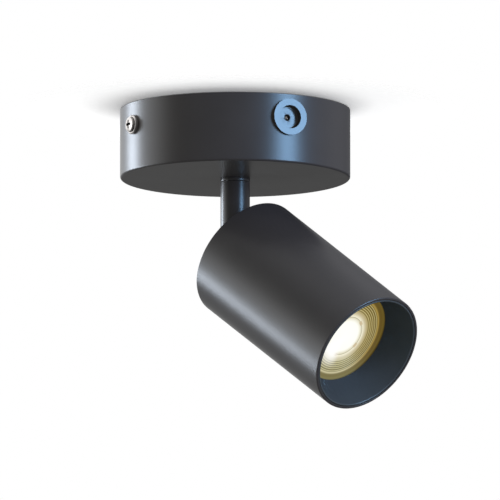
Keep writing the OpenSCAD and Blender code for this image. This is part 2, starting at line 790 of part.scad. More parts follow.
module holder_bridge() {
    color("silver") at_head() difference() {
        union() {
            translate([-leg_x - bridge_t, -bridge_w / 2, bridge_u])
                cube([2 * (leg_x + bridge_t), bridge_w, bridge_t]);
            for (side = [-1, 1]) translate([side * (leg_x + bridge_t / 2), 0, (back_in_u + bridge_u) / 2])
                cube([bridge_t, bridge_w, bridge_u - back_in_u], center = true);
            bridge_feet() translate([-foot_l / 2 - bridge_t / 2, -bridge_w / 2, back_in_u])
                cube([foot_l + bridge_t, bridge_w, bridge_t]);
        }
        translate([0, 0, bridge_u - cut]) cylinder(d = bridge_hole_d, h = bridge_t + 2 * cut);
        bridge_feet() translate([0, 0, back_in_u - cut])
            cylinder(d = bridge_screw_d + gap, h = bridge_t + 2 * cut);
        holder_screw_places() translate([0, 0, bridge_u - cut])
            cylinder(d = holder_screw_d + gap, h = bridge_t + 2 * cut);
    }
}

// A small pan head screw: its head's underside at zero, its shank downwards
module small_screw(d, shank) {
    difference() {
        union() {
            pan_head(small_head_d, small_head_h);
            translate([0, 0, -shank]) cylinder(d = d, h = shank + merge);
        }
        translate([0, 0, small_head_h]) cross_recess(small_head_d / 8, small_head_d * 0.56, small_head_h / 2);
    }
}

module bridge_screws() {
    color("silver") at_head() bridge_feet() translate([0, 0, back_in_u + bridge_t])
        small_screw(bridge_screw_d, bridge_t + back_t - blind_floor - 2 * loose);
}

// The lamp's pins drop in at the wide end of each curved slot and turn to the narrow end
module keyhole() {
    lip = 2.6;
    slot_w = pin_neck_d + 2 * gap;
    entry_d = pin_head_d + 2 * gap;
    well_h = holder_front_u - lip - pin_well_u + merge;
    r = pin_spacing / 2;
    translate([0, 0, holder_front_u - lip]) {
        rotate_extrude(angle = lamp_twist)
            translate([r - slot_w / 2, 0]) square([slot_w, lip + cut]);
        translate([r, 0, 0]) cylinder(d = slot_w, h = lip + cut);
        rotate([0, 0, lamp_twist]) translate([r, 0, 0]) cylinder(d = entry_d, h = lip + cut);
    }
    translate([0, 0, pin_well_u]) {
        rotate_extrude(angle = lamp_twist)
            translate([r - entry_d / 2, 0]) square([entry_d, well_h]);
        for (a = [0, lamp_twist]) rotate([0, 0, a]) translate([r, 0, 0])
            cylinder(d = entry_d, h = well_h);
    }
}

lead_well = 4;

module lampholder() {
    body_h = holder_front_u - holder_back_u;
    color("ivory") at_head() difference() {
        intersection() {
            translate([-holder_w / 2, -holder_d / 2, holder_back_u]) cube([holder_w, holder_d, body_h]);
            translate([0, 0, holder_back_u]) cylinder(d = holder_w * 1.05, h = body_h);
        }
        for (a = [0, 180]) rotate([0, 0, a]) keyhole();
        for (side = [-1, 1]) translate([0, side * holder_lead_y, holder_back_u - cut])
            cylinder(d = lead_d + 4 * loose, h = lead_well + cut);
        holder_screw_places() translate([0, 0, holder_back_u - cut])
            cylinder(d = holder_screw_d + 2 * fit, h = holder_screw_l + 2 * gap + cut);
    }
}

module holder_screws() {
    color("silver") at_head() holder_screw_places() translate([0, 0, bridge_u]) rotate([180, 0, 0])
        small_screw(holder_screw_d, bridge_t + holder_screw_l);
}

module contacts() {
    color("goldenrod") at_head() for (side = [-1, 1]) translate([side * pin_spacing / 2, 0, pin_well_u])
        translate([-pin_neck_d / 2, -pin_neck_d / 2, 0]) cube([pin_neck_d, pin_neck_d, contact_t]);
}

module head_leads() {
    color("whitesmoke") at_head() for (side = [-1, 1]) lead(lead_route(
        [passage_x, side * lead_pair, lead_start], [passage_x, side * lead_pair, stud_end_u - 5],
        [0, side * holder_lead_y, stud_end_u - 1], [0, side * holder_lead_y, holder_back_u + lead_well - 1]),
        lead_d, [1, 0.2, 0.1]);
}

// Lamp group
base_step = 3;
base_waist_l = 4;
base_cone_l = 1.5;
base_floor = 7;
base_plug_l = 2;
pin_root = 3;

module lamp_base() {
    waist_d = lamp_base_d - 2 * base_step;
    plug_u = lamp_taper_u + base_plug_l;
    floor_u = lamp_base_u + base_floor;
    color("whitesmoke") at_head() difference() {
        rotate_extrude() polygon([
            [0, lamp_base_u], [waist_d / 2, lamp_base_u], [waist_d / 2, lamp_base_u + base_waist_l],
            [lamp_base_d / 2, lamp_base_u + base_waist_l + base_cone_l], [lamp_base_d / 2, plug_u],
            [lamp_base_d / 2 - body_wall, plug_u], [lamp_base_d / 2 - body_wall, floor_u], [0, floor_u]]);
        lamp_pin_places() translate([0, 0, lamp_base_u - cut]) cylinder(d = pin_neck_d, h = pin_root + cut);
    }
}

module lamp_pin_places() {
    for (side = [-1, 1]) translate([side * pin_spacing / 2, 0, 0]) children();
}

module lamp_pins() {
    color("silver") at_head() lamp_pin_places() {
        translate([0, 0, pin_end_u]) cylinder(d = pin_head_d, h = pin_head_h);
        translate([0, 0, pin_end_u + pin_head_h]) cylinder(d = pin_neck_d, h = pin_l - pin_head_h + pin_root);
    }
}

// Radius of the lamp's tapered body, from zero at its back to one at its front band
function taper_r(t) =
    let (r_back = lamp_base_d / 2 + body_wall)
    r_back + (lamp_d / 2 - r_back) * t + taper_bulge * sin(180 * t) * (1 - t / 2);

// The tapered body is a hollow metal reflector shape that the base pushes into
module lamp_body() {
    r_front = lamp_d / 2;
    steps = 8;
    seat_u = lens_face_u - lens_t;
    outer = [for (i = [0:steps]) [taper_r(i / steps), lamp_taper_u + lamp_taper_l * i / steps]];
    inner = [for (i = [steps:-1:0]) [outer[i][0] - body_wall, outer[i][1]]];
    color("lightgray") at_head() rotate_extrude() polygon(concat(
        outer,
        [[r_front, lens_face_u], [lens_r + loose, lens_face_u], [lens_r + loose, seat_u],
         [lens_r - lens_ledge, seat_u], [lens_r - lens_ledge, seat_u - lens_ledge],
         [r_front - body_wall, seat_u - lens_ledge]],
        inner));
}

board_w = 18;
board_t = 1.6;
board_gap = 6;
coil = [6, 5, 8];
capacitor = [4, 4, 7];
part_edge = 2;
part_rise = 3;

// The driver board stands on the base's floor with a coil and a capacitor on one side
module driver_board() {
    board_l = lamp_taper_l - board_gap;
    color("darkgreen") at_head() translate([-board_w / 2, -board_t / 2, lamp_base_u + base_floor]) {
        cube([board_w, board_t, board_l]);
        translate([part_edge, board_t, part_rise]) cube(coil);
        translate([board_w - capacitor[0] - part_edge, board_t, 3 * part_rise]) cube(capacitor);
    }
}

led_plate_t = 1.6;
led_plate_drop = 1.2;
led_plate_u = lamp_band_u - led_plate_drop;
led_chip_d = 9;
led_chip_h = 1;

// The plate's back edge sits on the taper inside the body
module led_plate() {
    seat_r = taper_r((led_plate_u - led_plate_t - lamp_taper_u) / lamp_taper_l) - body_wall;
    color("silver") at_head() translate([0, 0, led_plate_u - led_plate_t])
        cylinder(r = seat_r - 2 * loose, h = led_plate_t);
}

module led_chip() {
    color("khaki") at_head() translate([0, 0, led_plate_u]) cylinder(d = led_chip_d, h = led_chip_h);
}

// The lens: a centre dome and a flat plate with fine ring ridges on its face
dome_r = 7.8;
dome_rise = 0.4;
dome_h = 0.6;
dome_gap = 1.8;
lens_border = 5.9;
ridges = 6;
ridge_h = 0.3;

module lamp_lens() {
    dome_steps = 6;
    ridge_from = dome_r + dome_gap;
    ridge_to = lens_r - lens_border;
    pitch = (ridge_to - ridge_from) / ridges;
    valley = lens_face_u - ridge_h;
    back = lens_face_u - lens_t;
    dome = [for (i = [0:dome_steps]) let (t = i / dome_steps)
        [dome_r * t, lens_face_u + dome_rise - dome_h * t * t]];
    ridge_line = [for (i = [0:ridges - 1]) each [
        [ridge_from + pitch * i, valley], [ridge_from + pitch * (i + 0.8), lens_face_u]]];
    color("lightyellow") at_head() rotate_extrude() polygon(concat(
        [[0, back]], dome, [[dome_r + ridge_h, valley]], ridge_line,
        [[ridge_to, valley], [lens_r, valley], [lens_r, back]]));
}

module lens_ring() {
    color("gray") at_head() translate([0, 0, lens_face_u])
        ring(lamp_d, 2 * (lens_r - lens_ring_lap), lens_step);
}

// Baffle group
snap_wire_d = 0.8;
snap_rise = 2.5;
snap_u = mouth_u - baffle_skirt_l + snap_rise;
cone_slope = (mouth_d - throat_d) / 2 / throat_depth;

module baffle() {
    skirt_r = head_in_r - loose;
    mouth_r = mouth_d / 2;
    throat_r = throat_d / 2;
    lip_r = (skirt_r - mouth_r) / 2;
    lip_u = mouth_u - loose - lip_r;
    join_u = mouth_u - (mouth_r + 2 * baffle_wall - skirt_r) / cone_slope;
    color("black") at_head() difference() {
        rotate_extrude() polygon(concat(
            [[throat_r, throat_u], [mouth_r, lip_u]],
            arc_points(mouth_r + lip_r, lip_u, lip_r, 180, 0),
            [[skirt_r, mouth_u - baffle_skirt_l], [skirt_r - baffle_wall, mouth_u - baffle_skirt_l],
             [skirt_r - baffle_wall, join_u], [throat_r + baffle_wall, throat_u]]));
        translate([0, 0, snap_u - snap_wire_d / 2])
            ring(2 * skirt_r + cut, 2 * (skirt_r - snap_wire_d), snap_wire_d);
    }
}

module snap_ring() {
    color("silver") at_head() translate([0, 0, snap_u]) rotate([0, 0, 15])
        rotate_extrude(angle = 330) translate([head_in_r - fit - snap_wire_d / 2, 0])
            circle(d = snap_wire_d - 2 * fit, $fn = 24);
}

ceiling_bracket();
canopy();
side_screws();
side_collars();
entry_bush();
bush_nut();
bush_pin();
terminal_block();
block_screws();
terminal_sleeves();
terminal_screws();
earth_screw();
earth_lug();
earth_lead();
canopy_leads();
stem_bolt();
stem_nut();
lock_washer();
stem_collar();
stop_pin();
stem_tube();
pan_washer();
stem_knuckle();
stem_leads();
friction_ring();
spring_washer();
head_knuckle();
pivot_screw();
pivot_nut();
back_plate();
head_tube();
stud_washer();
stud_nut();
holder_bridge();
bridge_screws();
lampholder();
holder_screws();
contacts();
head_leads();
lamp_base();
lamp_pins();
lamp_body();
driver_board();
led_plate();
led_chip();
lamp_lens();
lens_ring();
baffle();
snap_ring();
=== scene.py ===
# %% [markdown]
# # A surface mounted ceiling spotlight
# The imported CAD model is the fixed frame: it holds every size, place and joint. This file adds what a
# camera needs: finishes, rounded edges, a ceiling, lamps and a camera. It is read from top to bottom,
# and each cell makes one thing.

# %% Load the frame
import json
import math

import bmesh
import bpy
from mathutils import Matrix, Vector


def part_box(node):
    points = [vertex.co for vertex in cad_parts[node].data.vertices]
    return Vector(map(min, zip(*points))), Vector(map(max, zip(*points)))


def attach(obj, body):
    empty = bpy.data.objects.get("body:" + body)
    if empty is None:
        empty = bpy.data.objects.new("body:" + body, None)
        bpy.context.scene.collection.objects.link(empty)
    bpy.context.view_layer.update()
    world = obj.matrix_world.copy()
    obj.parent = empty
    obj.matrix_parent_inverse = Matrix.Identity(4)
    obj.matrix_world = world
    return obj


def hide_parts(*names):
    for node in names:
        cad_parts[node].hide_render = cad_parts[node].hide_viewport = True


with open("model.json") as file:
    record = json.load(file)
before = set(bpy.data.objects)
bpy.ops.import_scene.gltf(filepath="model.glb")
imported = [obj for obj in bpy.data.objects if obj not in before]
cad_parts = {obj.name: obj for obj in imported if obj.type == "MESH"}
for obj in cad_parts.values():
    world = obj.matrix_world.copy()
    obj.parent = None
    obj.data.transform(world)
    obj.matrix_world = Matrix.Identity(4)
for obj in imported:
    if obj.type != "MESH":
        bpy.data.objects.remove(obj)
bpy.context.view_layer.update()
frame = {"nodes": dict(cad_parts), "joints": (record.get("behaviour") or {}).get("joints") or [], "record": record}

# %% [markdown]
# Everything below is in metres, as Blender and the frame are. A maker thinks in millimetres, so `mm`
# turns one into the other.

mm = 0.001
nodes = frame["nodes"]
joints = {joint["name"]: joint for joint in frame["joints"]}
print("nodes in the frame:", len(nodes), "joints:", sorted(joints))

# %% [markdown]
# ## Where things are
# The head tilts on a pin, and the lamp looks along the beam. Both come from the joints, so a piece made
# here lands on the CAD part with no fitting. A place is a matrix: its third column is the way the piece
# points. The alternative, typing the angles again, would go wrong as soon as the CAD pose changed.

# %% Axes and places
def place(origin, up, side):
    """A frame at origin whose Z runs along up and whose X lies towards side."""
    up = Vector(up).normalized()
    across = up.cross(Vector(side)).normalized()
    matrix = Matrix((across.cross(up), across, up)).transposed().to_4x4()
    matrix.translation = Vector(origin)
    return matrix


def reach(node, frame_place):
    """Lowest and highest height of a CAD node in a place's frame, and its least and greatest radius."""
    back = frame_place.inverted()
    spots = [back @ corner.co for corner in nodes[node].data.vertices]
    heights = [spot.z for spot in spots]
    radii = [math.hypot(spot.x, spot.y) for spot in spots]
    return min(heights), max(heights), min(radii), max(radii)


def middle_height(node):
    """Height of the middle of a CAD node."""
    low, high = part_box(node)
    return (low.z + high.z) / 2


pivot = Vector(joints["tilt"]["pos_m"])
beam = Vector(joints["lamp_twist"]["axis"])
tilt_axis = -Vector(joints["tilt"]["axis"])
at_ceiling = Matrix.Identity(4)
at_head = place(pivot, beam, tilt_axis)
at_side = place((0, 0, middle_height("side_collars")), (1, 0, 0), (0, 0, 1))
at_bush = place((0, 0, middle_height("bush_pin")), (0, -1, 0), (0, 0, 1))
canopy_low, _, _, canopy_r = reach("canopy", at_ceiling)
head_back, head_mouth, _, head_r = reach("head_tube", at_head)
print("beam", tuple(round(v, 3) for v in beam), "tilt axis", tuple(round(v, 3) for v in tilt_axis))
print(f"canopy {2 * canopy_r / mm:.1f} x {-canopy_low / mm:.1f} mm")
print(f"head {2 * head_r / mm:.1f} mm, {(head_mouth - head_back) / mm:.1f} mm long")

# %% [markdown]
# ## The camera
# The photograph is nearly parallel: the canopy's two ellipses have one shape, and the tube doesn't
# narrow. An orthographic camera gives that exactly, where a long lens would only come close. It stands
# a little below the light, looks up, and its width is the width of ceiling that the photograph spans.

# %% Camera
def in_scene(name, data):
    """A new object in the scene that shows this data."""
    thing = bpy.data.objects.new(name, data)
    bpy.context.scene.collection.objects.link(thing)
    return thing


view_azimuth = math.radians(-28.05)
view_elevation = math.radians(-9.297)
photo_width = 217.1 * mm
photo_right = 6.44 * mm
photo_down = 60.5 * mm
camera_away = 0.8
sight_start, sight_end = 0.01, 10

look = Vector((-math.sin(view_azimuth) * math.cos(view_elevation),
               math.cos(view_azimuth) * math.cos(view_elevation), -math.sin(view_elevation)))
right = Vector((math.cos(view_azimuth), math.sin(view_azimuth), 0))
up = right.cross(look)

camera_data = bpy.data.cameras.new("camera")
camera_data.type = "ORTHO"
camera_data.ortho_scale = photo_width
camera_data.clip_start = sight_start
camera_data.clip_end = sight_end
camera = in_scene("camera", camera_data)
camera.matrix_world = Matrix((right, up, -look)).transposed().to_4x4()
camera.location = right * photo_right - up * photo_down - look * camera_away
bpy.context.scene.camera = camera
print("camera at", tuple(round(v, 3) for v in camera.location))


# %% [markdown]
# ## Light
# A satin paint shows its lamps as long soft streaks, so the lamps are placed by where the streaks lie.
# A round wall at angle a from the camera mirrors what stands at 2a. The photograph's pale streak near
# the canopy's left edge and on the head's lower left both lead back to one tall box, left and a little
# behind. The blue streak right of the middle leads to a narrow cool box on the right. The photograph's
# paint stays nearly neutral beside that streak, so the cool box is only mirrored, and a paler one in the
# same place lights the body colour. Another box, behind and below, throws the canopy's soft shadow
# forward on the ceiling. A warm card low on the right gives the pin in the bush its one cream spot.

# %% Soft boxes
def softbox(name, azimuth, elevation, width, height, radiance, colour, roll=0, away=0.6):
    """A flat lamp that faces the light. Azimuth counts from the camera to its right, in degrees."""
    turn, rise = math.radians(azimuth), math.radians(elevation)
    towards = right * math.sin(turn) * math.cos(rise) + Vector((0, 0, math.sin(rise)))
    towards += Vector((-look.x, -look.y, 0)).normalized() * math.cos(turn) * math.cos(rise)
    lamp = bpy.data.lights.new(name, "AREA")
    lamp.shape = "RECTANGLE"
    lamp.size, lamp.size_y = width, height
    lamp.energy = radiance * math.pi * width * height
    lamp.color = colour
    box = in_scene(name, lamp)
    middle = Vector((0, 0, canopy_low))
    stand = place(middle + towards * away, towards, towards.cross(Vector((0, 0, 1))))
    box.matrix_world = stand @ Matrix.Rotation(math.radians(roll), 4, "Z")
    return box


left_box = softbox("left_box", -118.6, -0.9, 0.29, 0.61, 14.3, (0.79, 0.88, 1.0), roll=20.7, away=1.0)
right_stand = (51.5, 8, 0.17, 0.42)
right_box = softbox("right_box", *right_stand, 19.8, (0.33, 0.62, 1.0))
right_box.visible_diffuse = False
right_fill = softbox("right_fill", *right_stand, 12.0, (0.56, 0.65, 1.0))
right_fill.visible_glossy = False
shadow_box = softbox("shadow_box", 171, -63, 0.42, 0.42, 5.4, (1.0, 1.0, 1.0))
pin_card = softbox("pin_card", 92, -40, 0.55, 0.35, 2.2, (1.0, 0.90, 0.78))
for box in (left_box, right_box, right_fill, shadow_box, pin_card):
    print(box.name, "at", tuple(round(v, 2) for v in box.location))

# %% [markdown]
# The room is a plain grey. The camera sees it as pure white, because the photograph is cut out on
# white, and so do rays that pass through something clear. Mirrored rays see the white too, on the left
# and behind: elsewhere stand dark cards that grow paler upwards, as a photographer sets them to give
# dark paint a crisp edge. Two round cards, on the left and the right, fill in the edges. All of that is
# one mask on the direction of the ray.

# %% Room
room_level = 0.48
card_low, card_high, card_top = 0.075, 0.22, 0.40
open_below = 0.28
white_azimuth = math.radians(-130)
towards_camera = Vector((-look.x, -look.y, 0)).normalized()
white_side = right * math.sin(white_azimuth) + towards_camera * math.cos(white_azimuth)

world = bpy.data.worlds.new("room")
bpy.context.scene.world = world
world.use_nodes = True
room_nodes, room_links = world.node_tree.nodes, world.node_tree.links


def room_node(kind, values, output=0, operation=None):
    """Adds a node to the room: values holds a number, a vector or a wire for each socket."""
    node = room_nodes.new(kind)
    if operation:
        node.operation = operation
    for socket, value in values.items():
        if isinstance(value, bpy.types.NodeSocket):
            room_links.new(value, node.inputs[socket])
        else:
            node.inputs[socket].default_value = value
    return node.outputs[output]


def room_range(value, low, high, to_low, to_high):
    values = {"Value": value, "From Min": low, "From Max": high, "To Min": to_low, "To Max": to_high}
    return room_node("ShaderNodeMapRange", values)


def room_math(operation, first, second):
    return room_node("ShaderNodeMath", {0: first, 1: second}, operation=operation)


def room_card(azimuth, elevation, start, full, level):
    """A round card in the mirrored room: dark at start degrees from its middle, pale at full."""
    turn, rise = math.radians(azimuth), math.radians(elevation)
    middle = (right * math.sin(turn) + towards_camera * math.cos(turn)) * math.cos(rise)
    middle += Vector((0, 0, math.sin(rise)))
    near = room_node("ShaderNodeVectorMath", {0: ray_way, 1: middle}, "Value", "DOT_PRODUCT")
    return room_range(near, math.cos(math.radians(start)), math.cos(math.radians(full)), 0.0, level)


ray_way = room_node("ShaderNodeTexCoord", {}, "Generated")
aside = room_node("ShaderNodeVectorMath", {0: ray_way, 1: white_side}, "Value", "DOT_PRODUCT")
height = room_node("ShaderNodeVectorMath", {0: ray_way, 1: (0, 0, 1)}, "Value", "DOT_PRODUCT")
open_aside = room_range(aside, low=0.32, high=0.78, to_low=0.0, to_high=1.0)
open_height = room_range(height, low=-0.12, high=0.06, to_low=open_below, to_high=1.0)
open_side = room_math("MULTIPLY", open_aside, open_height)
low_cards = room_range(height, low=-0.2, high=0.3, to_low=card_low, to_high=card_high)
top_cards = room_range(height, low=0.55, high=0.9, to_low=0.0, to_high=card_top)
right_card = room_card(azimuth=108, elevation=0, start=36, full=12, level=0.28)
cards = room_math("ADD", room_math("ADD", low_cards, top_cards), right_card)
wing = room_card(azimuth=-95, elevation=-6, start=28, full=8, level=0.95)
ray = {name: room_node("ShaderNodeLightPath", {}, name)
       for name in ("Is Camera Ray", "Is Glossy Ray", "Is Transmission Ray")}
seen = room_math("MAXIMUM", ray["Is Camera Ray"], ray["Is Transmission Ray"])
mirror = room_math("ADD", room_math("MAXIMUM", open_side, cards), wing)
mirrored = room_math("MULTIPLY", ray["Is Glossy Ray"], mirror)
unlit = room_math("SUBTRACT", 1.0, ray["Is Glossy Ray"])
room = room_math("ADD", mirrored, room_math("MULTIPLY", unlit, room_level))
strength = room_math("MAXIMUM", seen, room)
room_links.new(strength, room_nodes["Background"].inputs["Strength"])
room_nodes["Background"].inputs["Color"].default_value = (1, 1, 1, 1)
print("room:", len(room_nodes), "nodes, matt surfaces see", room_level)

# %% [markdown]
# The ceiling only has to catch the shadow. It is seen by the camera and by nothing else, so it neither
# darkens the top of the light nor shows in its paint, and its upper side is clear, so that a view from
# above looks into the canopy. It fades out before its own edge, because the photograph has no horizon.
# The side boxes would draw long streaks on it, so light linking leaves it out of their light, and the
# box behind shines on nothing else, so that its strength sets the shadow and not the paint.

# %% Ceiling
ceiling_r, ceiling_steps = 0.13, 96
ceiling_lift = 0.3 * mm
ceiling_mesh = bmesh.new()
bmesh.ops.create_circle(ceiling_mesh, cap_ends=True, radius=ceiling_r, segments=ceiling_steps,
                        matrix=Matrix.Translation((0, 0, ceiling_lift)))
bmesh.ops.reverse_faces(ceiling_mesh, faces=ceiling_mesh.faces)
ceiling_data = bpy.data.meshes.new("ceiling")
ceiling_mesh.to_mesh(ceiling_data)
ceiling_mesh.free()
ceiling = in_scene("ceiling", ceiling_data)
ceiling.visible_diffuse = False
ceiling.visible_glossy = False
ceiling.visible_transmission = False
ceiling.visible_shadow = False


def leave_out(box, piece):
    """Light linking: this soft box doesn't shine on this piece."""
    linking = box.light_linking
    if linking.receiver_collection is None:
        linking.receiver_collection = bpy.data.collections.new("not_lit_by_" + box.name)
    linking.receiver_collection.objects.link(piece)
    for row in linking.receiver_collection.collection_objects:
        row.light_linking.link_state = "EXCLUDE"


def keep_for(box, piece):
    """Light linking: this soft box shines on this piece alone."""
    box.light_linking.receiver_collection = bpy.data.collections.new("lit_by_" + box.name)
    box.light_linking.receiver_collection.objects.link(piece)


for box in (left_box, right_box, right_fill):
    leave_out(box, ceiling)
keep_for(shadow_box, ceiling)
shadow_casters = bpy.data.collections.new("shadow_casters")
shadow_box.light_linking.blocker_collection = shadow_casters
print("ceiling:", round(2 * ceiling_r, 2), "m across, lit by", shadow_box.name)

# %% [markdown]
# ## Finishes
# A finish is a small graph of nodes. Written by hand it is hard to read, so two helpers turn it into
# plain sums: a `Flow` is the value on a wire, and arithmetic on it adds the Math nodes.

# %% Helpers for finishes
class Flow:
    """The value on a wire of a finish. Arithmetic on it adds Math nodes."""

    def __init__(self, finish, socket):
        self.finish, self.socket = finish, socket

    def math(self, operation, *others):
        return self.finish.sum(operation, self, *others)

    def __add__(self, other):
        return self.math("ADD", other)

    def __radd__(self, other):
        return self.finish.sum("ADD", other, self)

    def __sub__(self, other):
        return self.math("SUBTRACT", other)

    def __rsub__(self, other):
        return self.finish.sum("SUBTRACT", other, self)

    def __mul__(self, other):
        return self.math("MULTIPLY", other)

    def __rmul__(self, other):
        return self.finish.sum("MULTIPLY", other, self)

    def __truediv__(self, other):
        return self.math("DIVIDE", other)

    def __pow__(self, other):
        return self.math("POWER", other)


class Finish:
    """A material with its nodes."""

    def __init__(self, name, **plain):
        self.material = bpy.data.materials.new(name)
        self.material.use_nodes = True
        self.tree = self.material.node_tree
        self.surface = self.tree.nodes["Principled BSDF"]
        for socket, value in plain.items():
            self.surface.inputs[socket.replace("_", " ")].default_value = value

    def node(self, kind, settings, inputs, output=0):
        """Adds any node: first its settings, then the values or wires of its sockets."""
        made = self.tree.nodes.new(kind)
        for name, value in settings.items():
            if name == "stops":
                self.set_stops(made.color_ramp, value)
            else:
                setattr(made, name, value)
        for name, value in inputs.items():
            self.feed(made.inputs[name], value)
        return Flow(self, made.outputs[output])

    def sum(self, operation, *values):
        """Adds one Math node."""
        return self.node("ShaderNodeMath", {"operation": operation}, dict(enumerate(values)))

    def set_stops(self, ramp, stops):
        """Gives a colour ramp its stops, each a position and a colour."""
        while len(ramp.elements) < len(stops):
            ramp.elements.new(0.5)
        for element, (position, colour) in zip(ramp.elements, stops):
            element.position = position
            element.color = (*colour, 1)

    def feed(self, socket, value):
        """Joins a wire to a socket, or sets the socket's own value."""
        if isinstance(value, Flow):
            self.tree.links.new(value.socket, socket)
        else:
            socket.default_value = value

    def shows(self, name, value):
        """Feeds a wire to the surface's own socket."""
        self.feed(self.surface.inputs[name], value)

    def where(self):
        """The point's own place on the piece, in metres."""
        return self.node("ShaderNodeTexCoord", {}, {}, "Object")

    def noise(self, size, detail=2.0, spot=None):
        """Soft random blotches of about one size, from zero to one."""
        inputs = {"Scale": 1 / size, "Detail": detail, "Vector": spot or self.where()}
        return self.node("ShaderNodeTexNoise", {}, inputs)

    def colours(self, amount, first, second):
        """Mixes from the first colour to the second."""
        settings = {"data_type": "RGBA"}
        first, second = (c if isinstance(c, Flow) else (*c, 1) for c in (first, second))
        return self.node("ShaderNodeMix", settings, {0: amount, 6: first, 7: second}, 2)

    def coloured(self, amount, first, second):
        """Mixes the surface's own colour from the first to the second."""
        self.shows("Base Color", self.colours(amount, first, second))

    def between(self, value, low, high):
        """Rises softly from zero at low to one at high, and holds beyond them."""
        inputs = {"Value": value, "From Min": low, "From Max": high}
        return self.node("ShaderNodeMapRange", {"interpolation_type": "SMOOTHSTEP"}, inputs)

    def along(self, origin, axis):
        """Height of a point above origin along an axis."""
        offset = self.node("ShaderNodeVectorMath", {"operation": "SUBTRACT"}, {0: self.where(), 1: origin})
        inputs = {0: offset, 1: axis}
        return self.node("ShaderNodeVectorMath", {"operation": "DOT_PRODUCT"}, inputs, "Value")

    def off_axis(self, origin, first, second):
        """Distance of a point from an axis: first and second are two ways square to it."""
        aside, over = self.along(origin, first), self.along(origin, second)
        return (aside * aside + over * over) ** 0.5

    def bumps(self, height, depth, under=None):
        """Raises the surface where height is one, by depth in metres."""
        inputs = {"Height": height, "Distance": depth, "Strength": 1.0}
        if under:
            inputs["Normal"] = under
        normal = self.node("ShaderNodeBump", {}, inputs)
        self.shows("Normal", normal)
        return normal

    def goes_on(self, slot):
        """Files the finish under its slot in the record."""
        finishes[slot] = self.material
        print(f"{slot}: {self.material.name}, {len(self.tree.nodes)} nodes")


finishes = {}
print("helpers: Flow and Finish")

# %% [markdown]
# **Ceiling.** Plain white paint. Its diffuse part takes the shadow, and an even glow is added to it, so
# that the unshaded part is white. Its upper side and its border let the white room through.

# %% Ceiling finish
ceiling_glow = 0.07
fade_start, fade_end = canopy_r + 22 * mm, canopy_r + 50 * mm
white = Finish("ceiling_white", Roughness=1.0, Specular_IOR_Level=0.0, Emission_Strength=ceiling_glow,
               Emission_Color=(1, 1, 1, 1), Base_Color=(0.96, 0.96, 0.96, 1))
solid = Flow(white, white.surface.outputs[0])
clear = white.node("ShaderNodeBsdfTransparent", {}, {})
above = white.node("ShaderNodeNewGeometry", {}, {}, "Backfacing")
from_middle = white.node("ShaderNodeVectorMath", {"operation": "LENGTH"}, {0: white.where()}, "Value")
hidden = white.between(from_middle, fade_start, fade_end).math("MAXIMUM", above)
both = white.node("ShaderNodeMixShader", {}, {0: hidden, 1: solid, 2: clear})
white.tree.links.new(both.socket, white.tree.nodes["Material Output"].inputs["Surface"])
ceiling_data.materials.append(white.material)
print("ceiling fades out between", round(fade_start, 3), "and", round(fade_end, 3), "m")

# %% [markdown]
# **Graphite powder coat.** The real paint is a baked powder: satin, dark warm grey, with a fine skin
# that scatters the streaks a little. Large blotches change its gloss by a hair, small grains give it
# tooth, and the colour itself hardly varies. A plain grey with one roughness would look like plastic.
# The bush is turned, so the coat lies smoother on it, and its face mirrors the right lamp more clearly.

# %% Graphite powder coat
paint = Finish("graphite_powder_coat", Metallic=0.0, IOR=1.5)
grain = paint.noise(0.16 * mm, 3.0)
skin = paint.noise(1.1 * mm, 1.0)
cloud = paint.noise(14 * mm, 2.0)
mottle = grain * 0.5 + cloud * 0.5
paint.coloured(mottle, (0.036, 0.034, 0.033), (0.055, 0.051, 0.048))

_, _, _, bush_r = reach("entry_bush", at_bush)
bush_back = canopy_r - 6 * mm
off_bush = paint.off_axis(at_bush.translation, (1, 0, 0), (0, 0, 1))
forwards = paint.along((0, 0, 0), (0, -1, 0))
on_bush = paint.between(off_bush, bush_r + 0.3 * mm, bush_r + 0.1 * mm)
on_bush = on_bush * paint.between(forwards, bush_back - 1 * mm, bush_back)
paint.shows("Roughness", 0.29 + cloud * 0.04 + grain * 0.04 - on_bush * 0.09)
peel = paint.bumps(skin, 0.004 * mm)
paint.bumps(grain, 0.002 * mm, under=peel)
paint.goes_on("graphite_paint")

# %% [markdown]
# ** Bright nickel.** Screw heads and collars are turned, plated and polished. Nickel is darker and
# warmer than chrome, and a barrel plated piece keeps a little haze. The bottom of the cross recess and
# the corner under the head get painted shade: a mask by depth and radius about the screw paints them
# near black. The left box would burn a mirror out to plain white and drown the cross, so light linking
# leaves the screws and collars out of it, and they mirror the white room.

# %% Bright nickel
nickel = Finish("bright_nickel", Metallic=1.0)
haze = nickel.noise(0.9 * mm, 2.0)
rub = nickel.noise(0.12 * mm, 2.0)
_, screw_top, _, screw_r = reach("side_screws", at_side)
head_h, dome_drop, recess_r = 1.5 * mm, 0.5 * mm, 2.1 * mm
outwards = nickel.along((0, 0, 0), (1, 0, 0)).math("ABSOLUTE")
off_screw = nickel.off_axis(at_side.translation, (0, 1, 0), (0, 0, 1))
depth = screw_top - (off_screw / screw_r) ** 2 * dome_drop - outwards
# Painted shade: the bottom of the cross recess and the corner under the head, masked by depth and radius about the
# screw.
inside_rim = nickel.between(off_screw, recess_r, recess_r - 0.1 * mm)
recess_shade_mask = nickel.between(depth, 0.01 * mm, 0.08 * mm) * inside_rim
flank = head_h - dome_drop
near_flank = nickel.between(off_screw, screw_r + 0.35 * mm, screw_r + 0.15 * mm)
corner = nickel.between(depth, flank - 0.35 * mm, flank - 0.1 * mm) * near_flank
painted_shade_mask = recess_shade_mask.math("MAXIMUM", corner)
plate = nickel.colours(haze, (0.86, 0.83, 0.81), (0.93, 0.90, 0.88))
# The painted shade mask darkens the plate colour to near black in the recess and the corner.
nickel.coloured(painted_shade_mask, plate, (0.030, 0.027, 0.025))
nickel.shows("Roughness", 0.16 + haze * 0.08 + rub * 0.06 + painted_shade_mask * 0.3)
nickel.bumps(rub, 0.0007 * mm)
nickel.goes_on("bright_nickel")

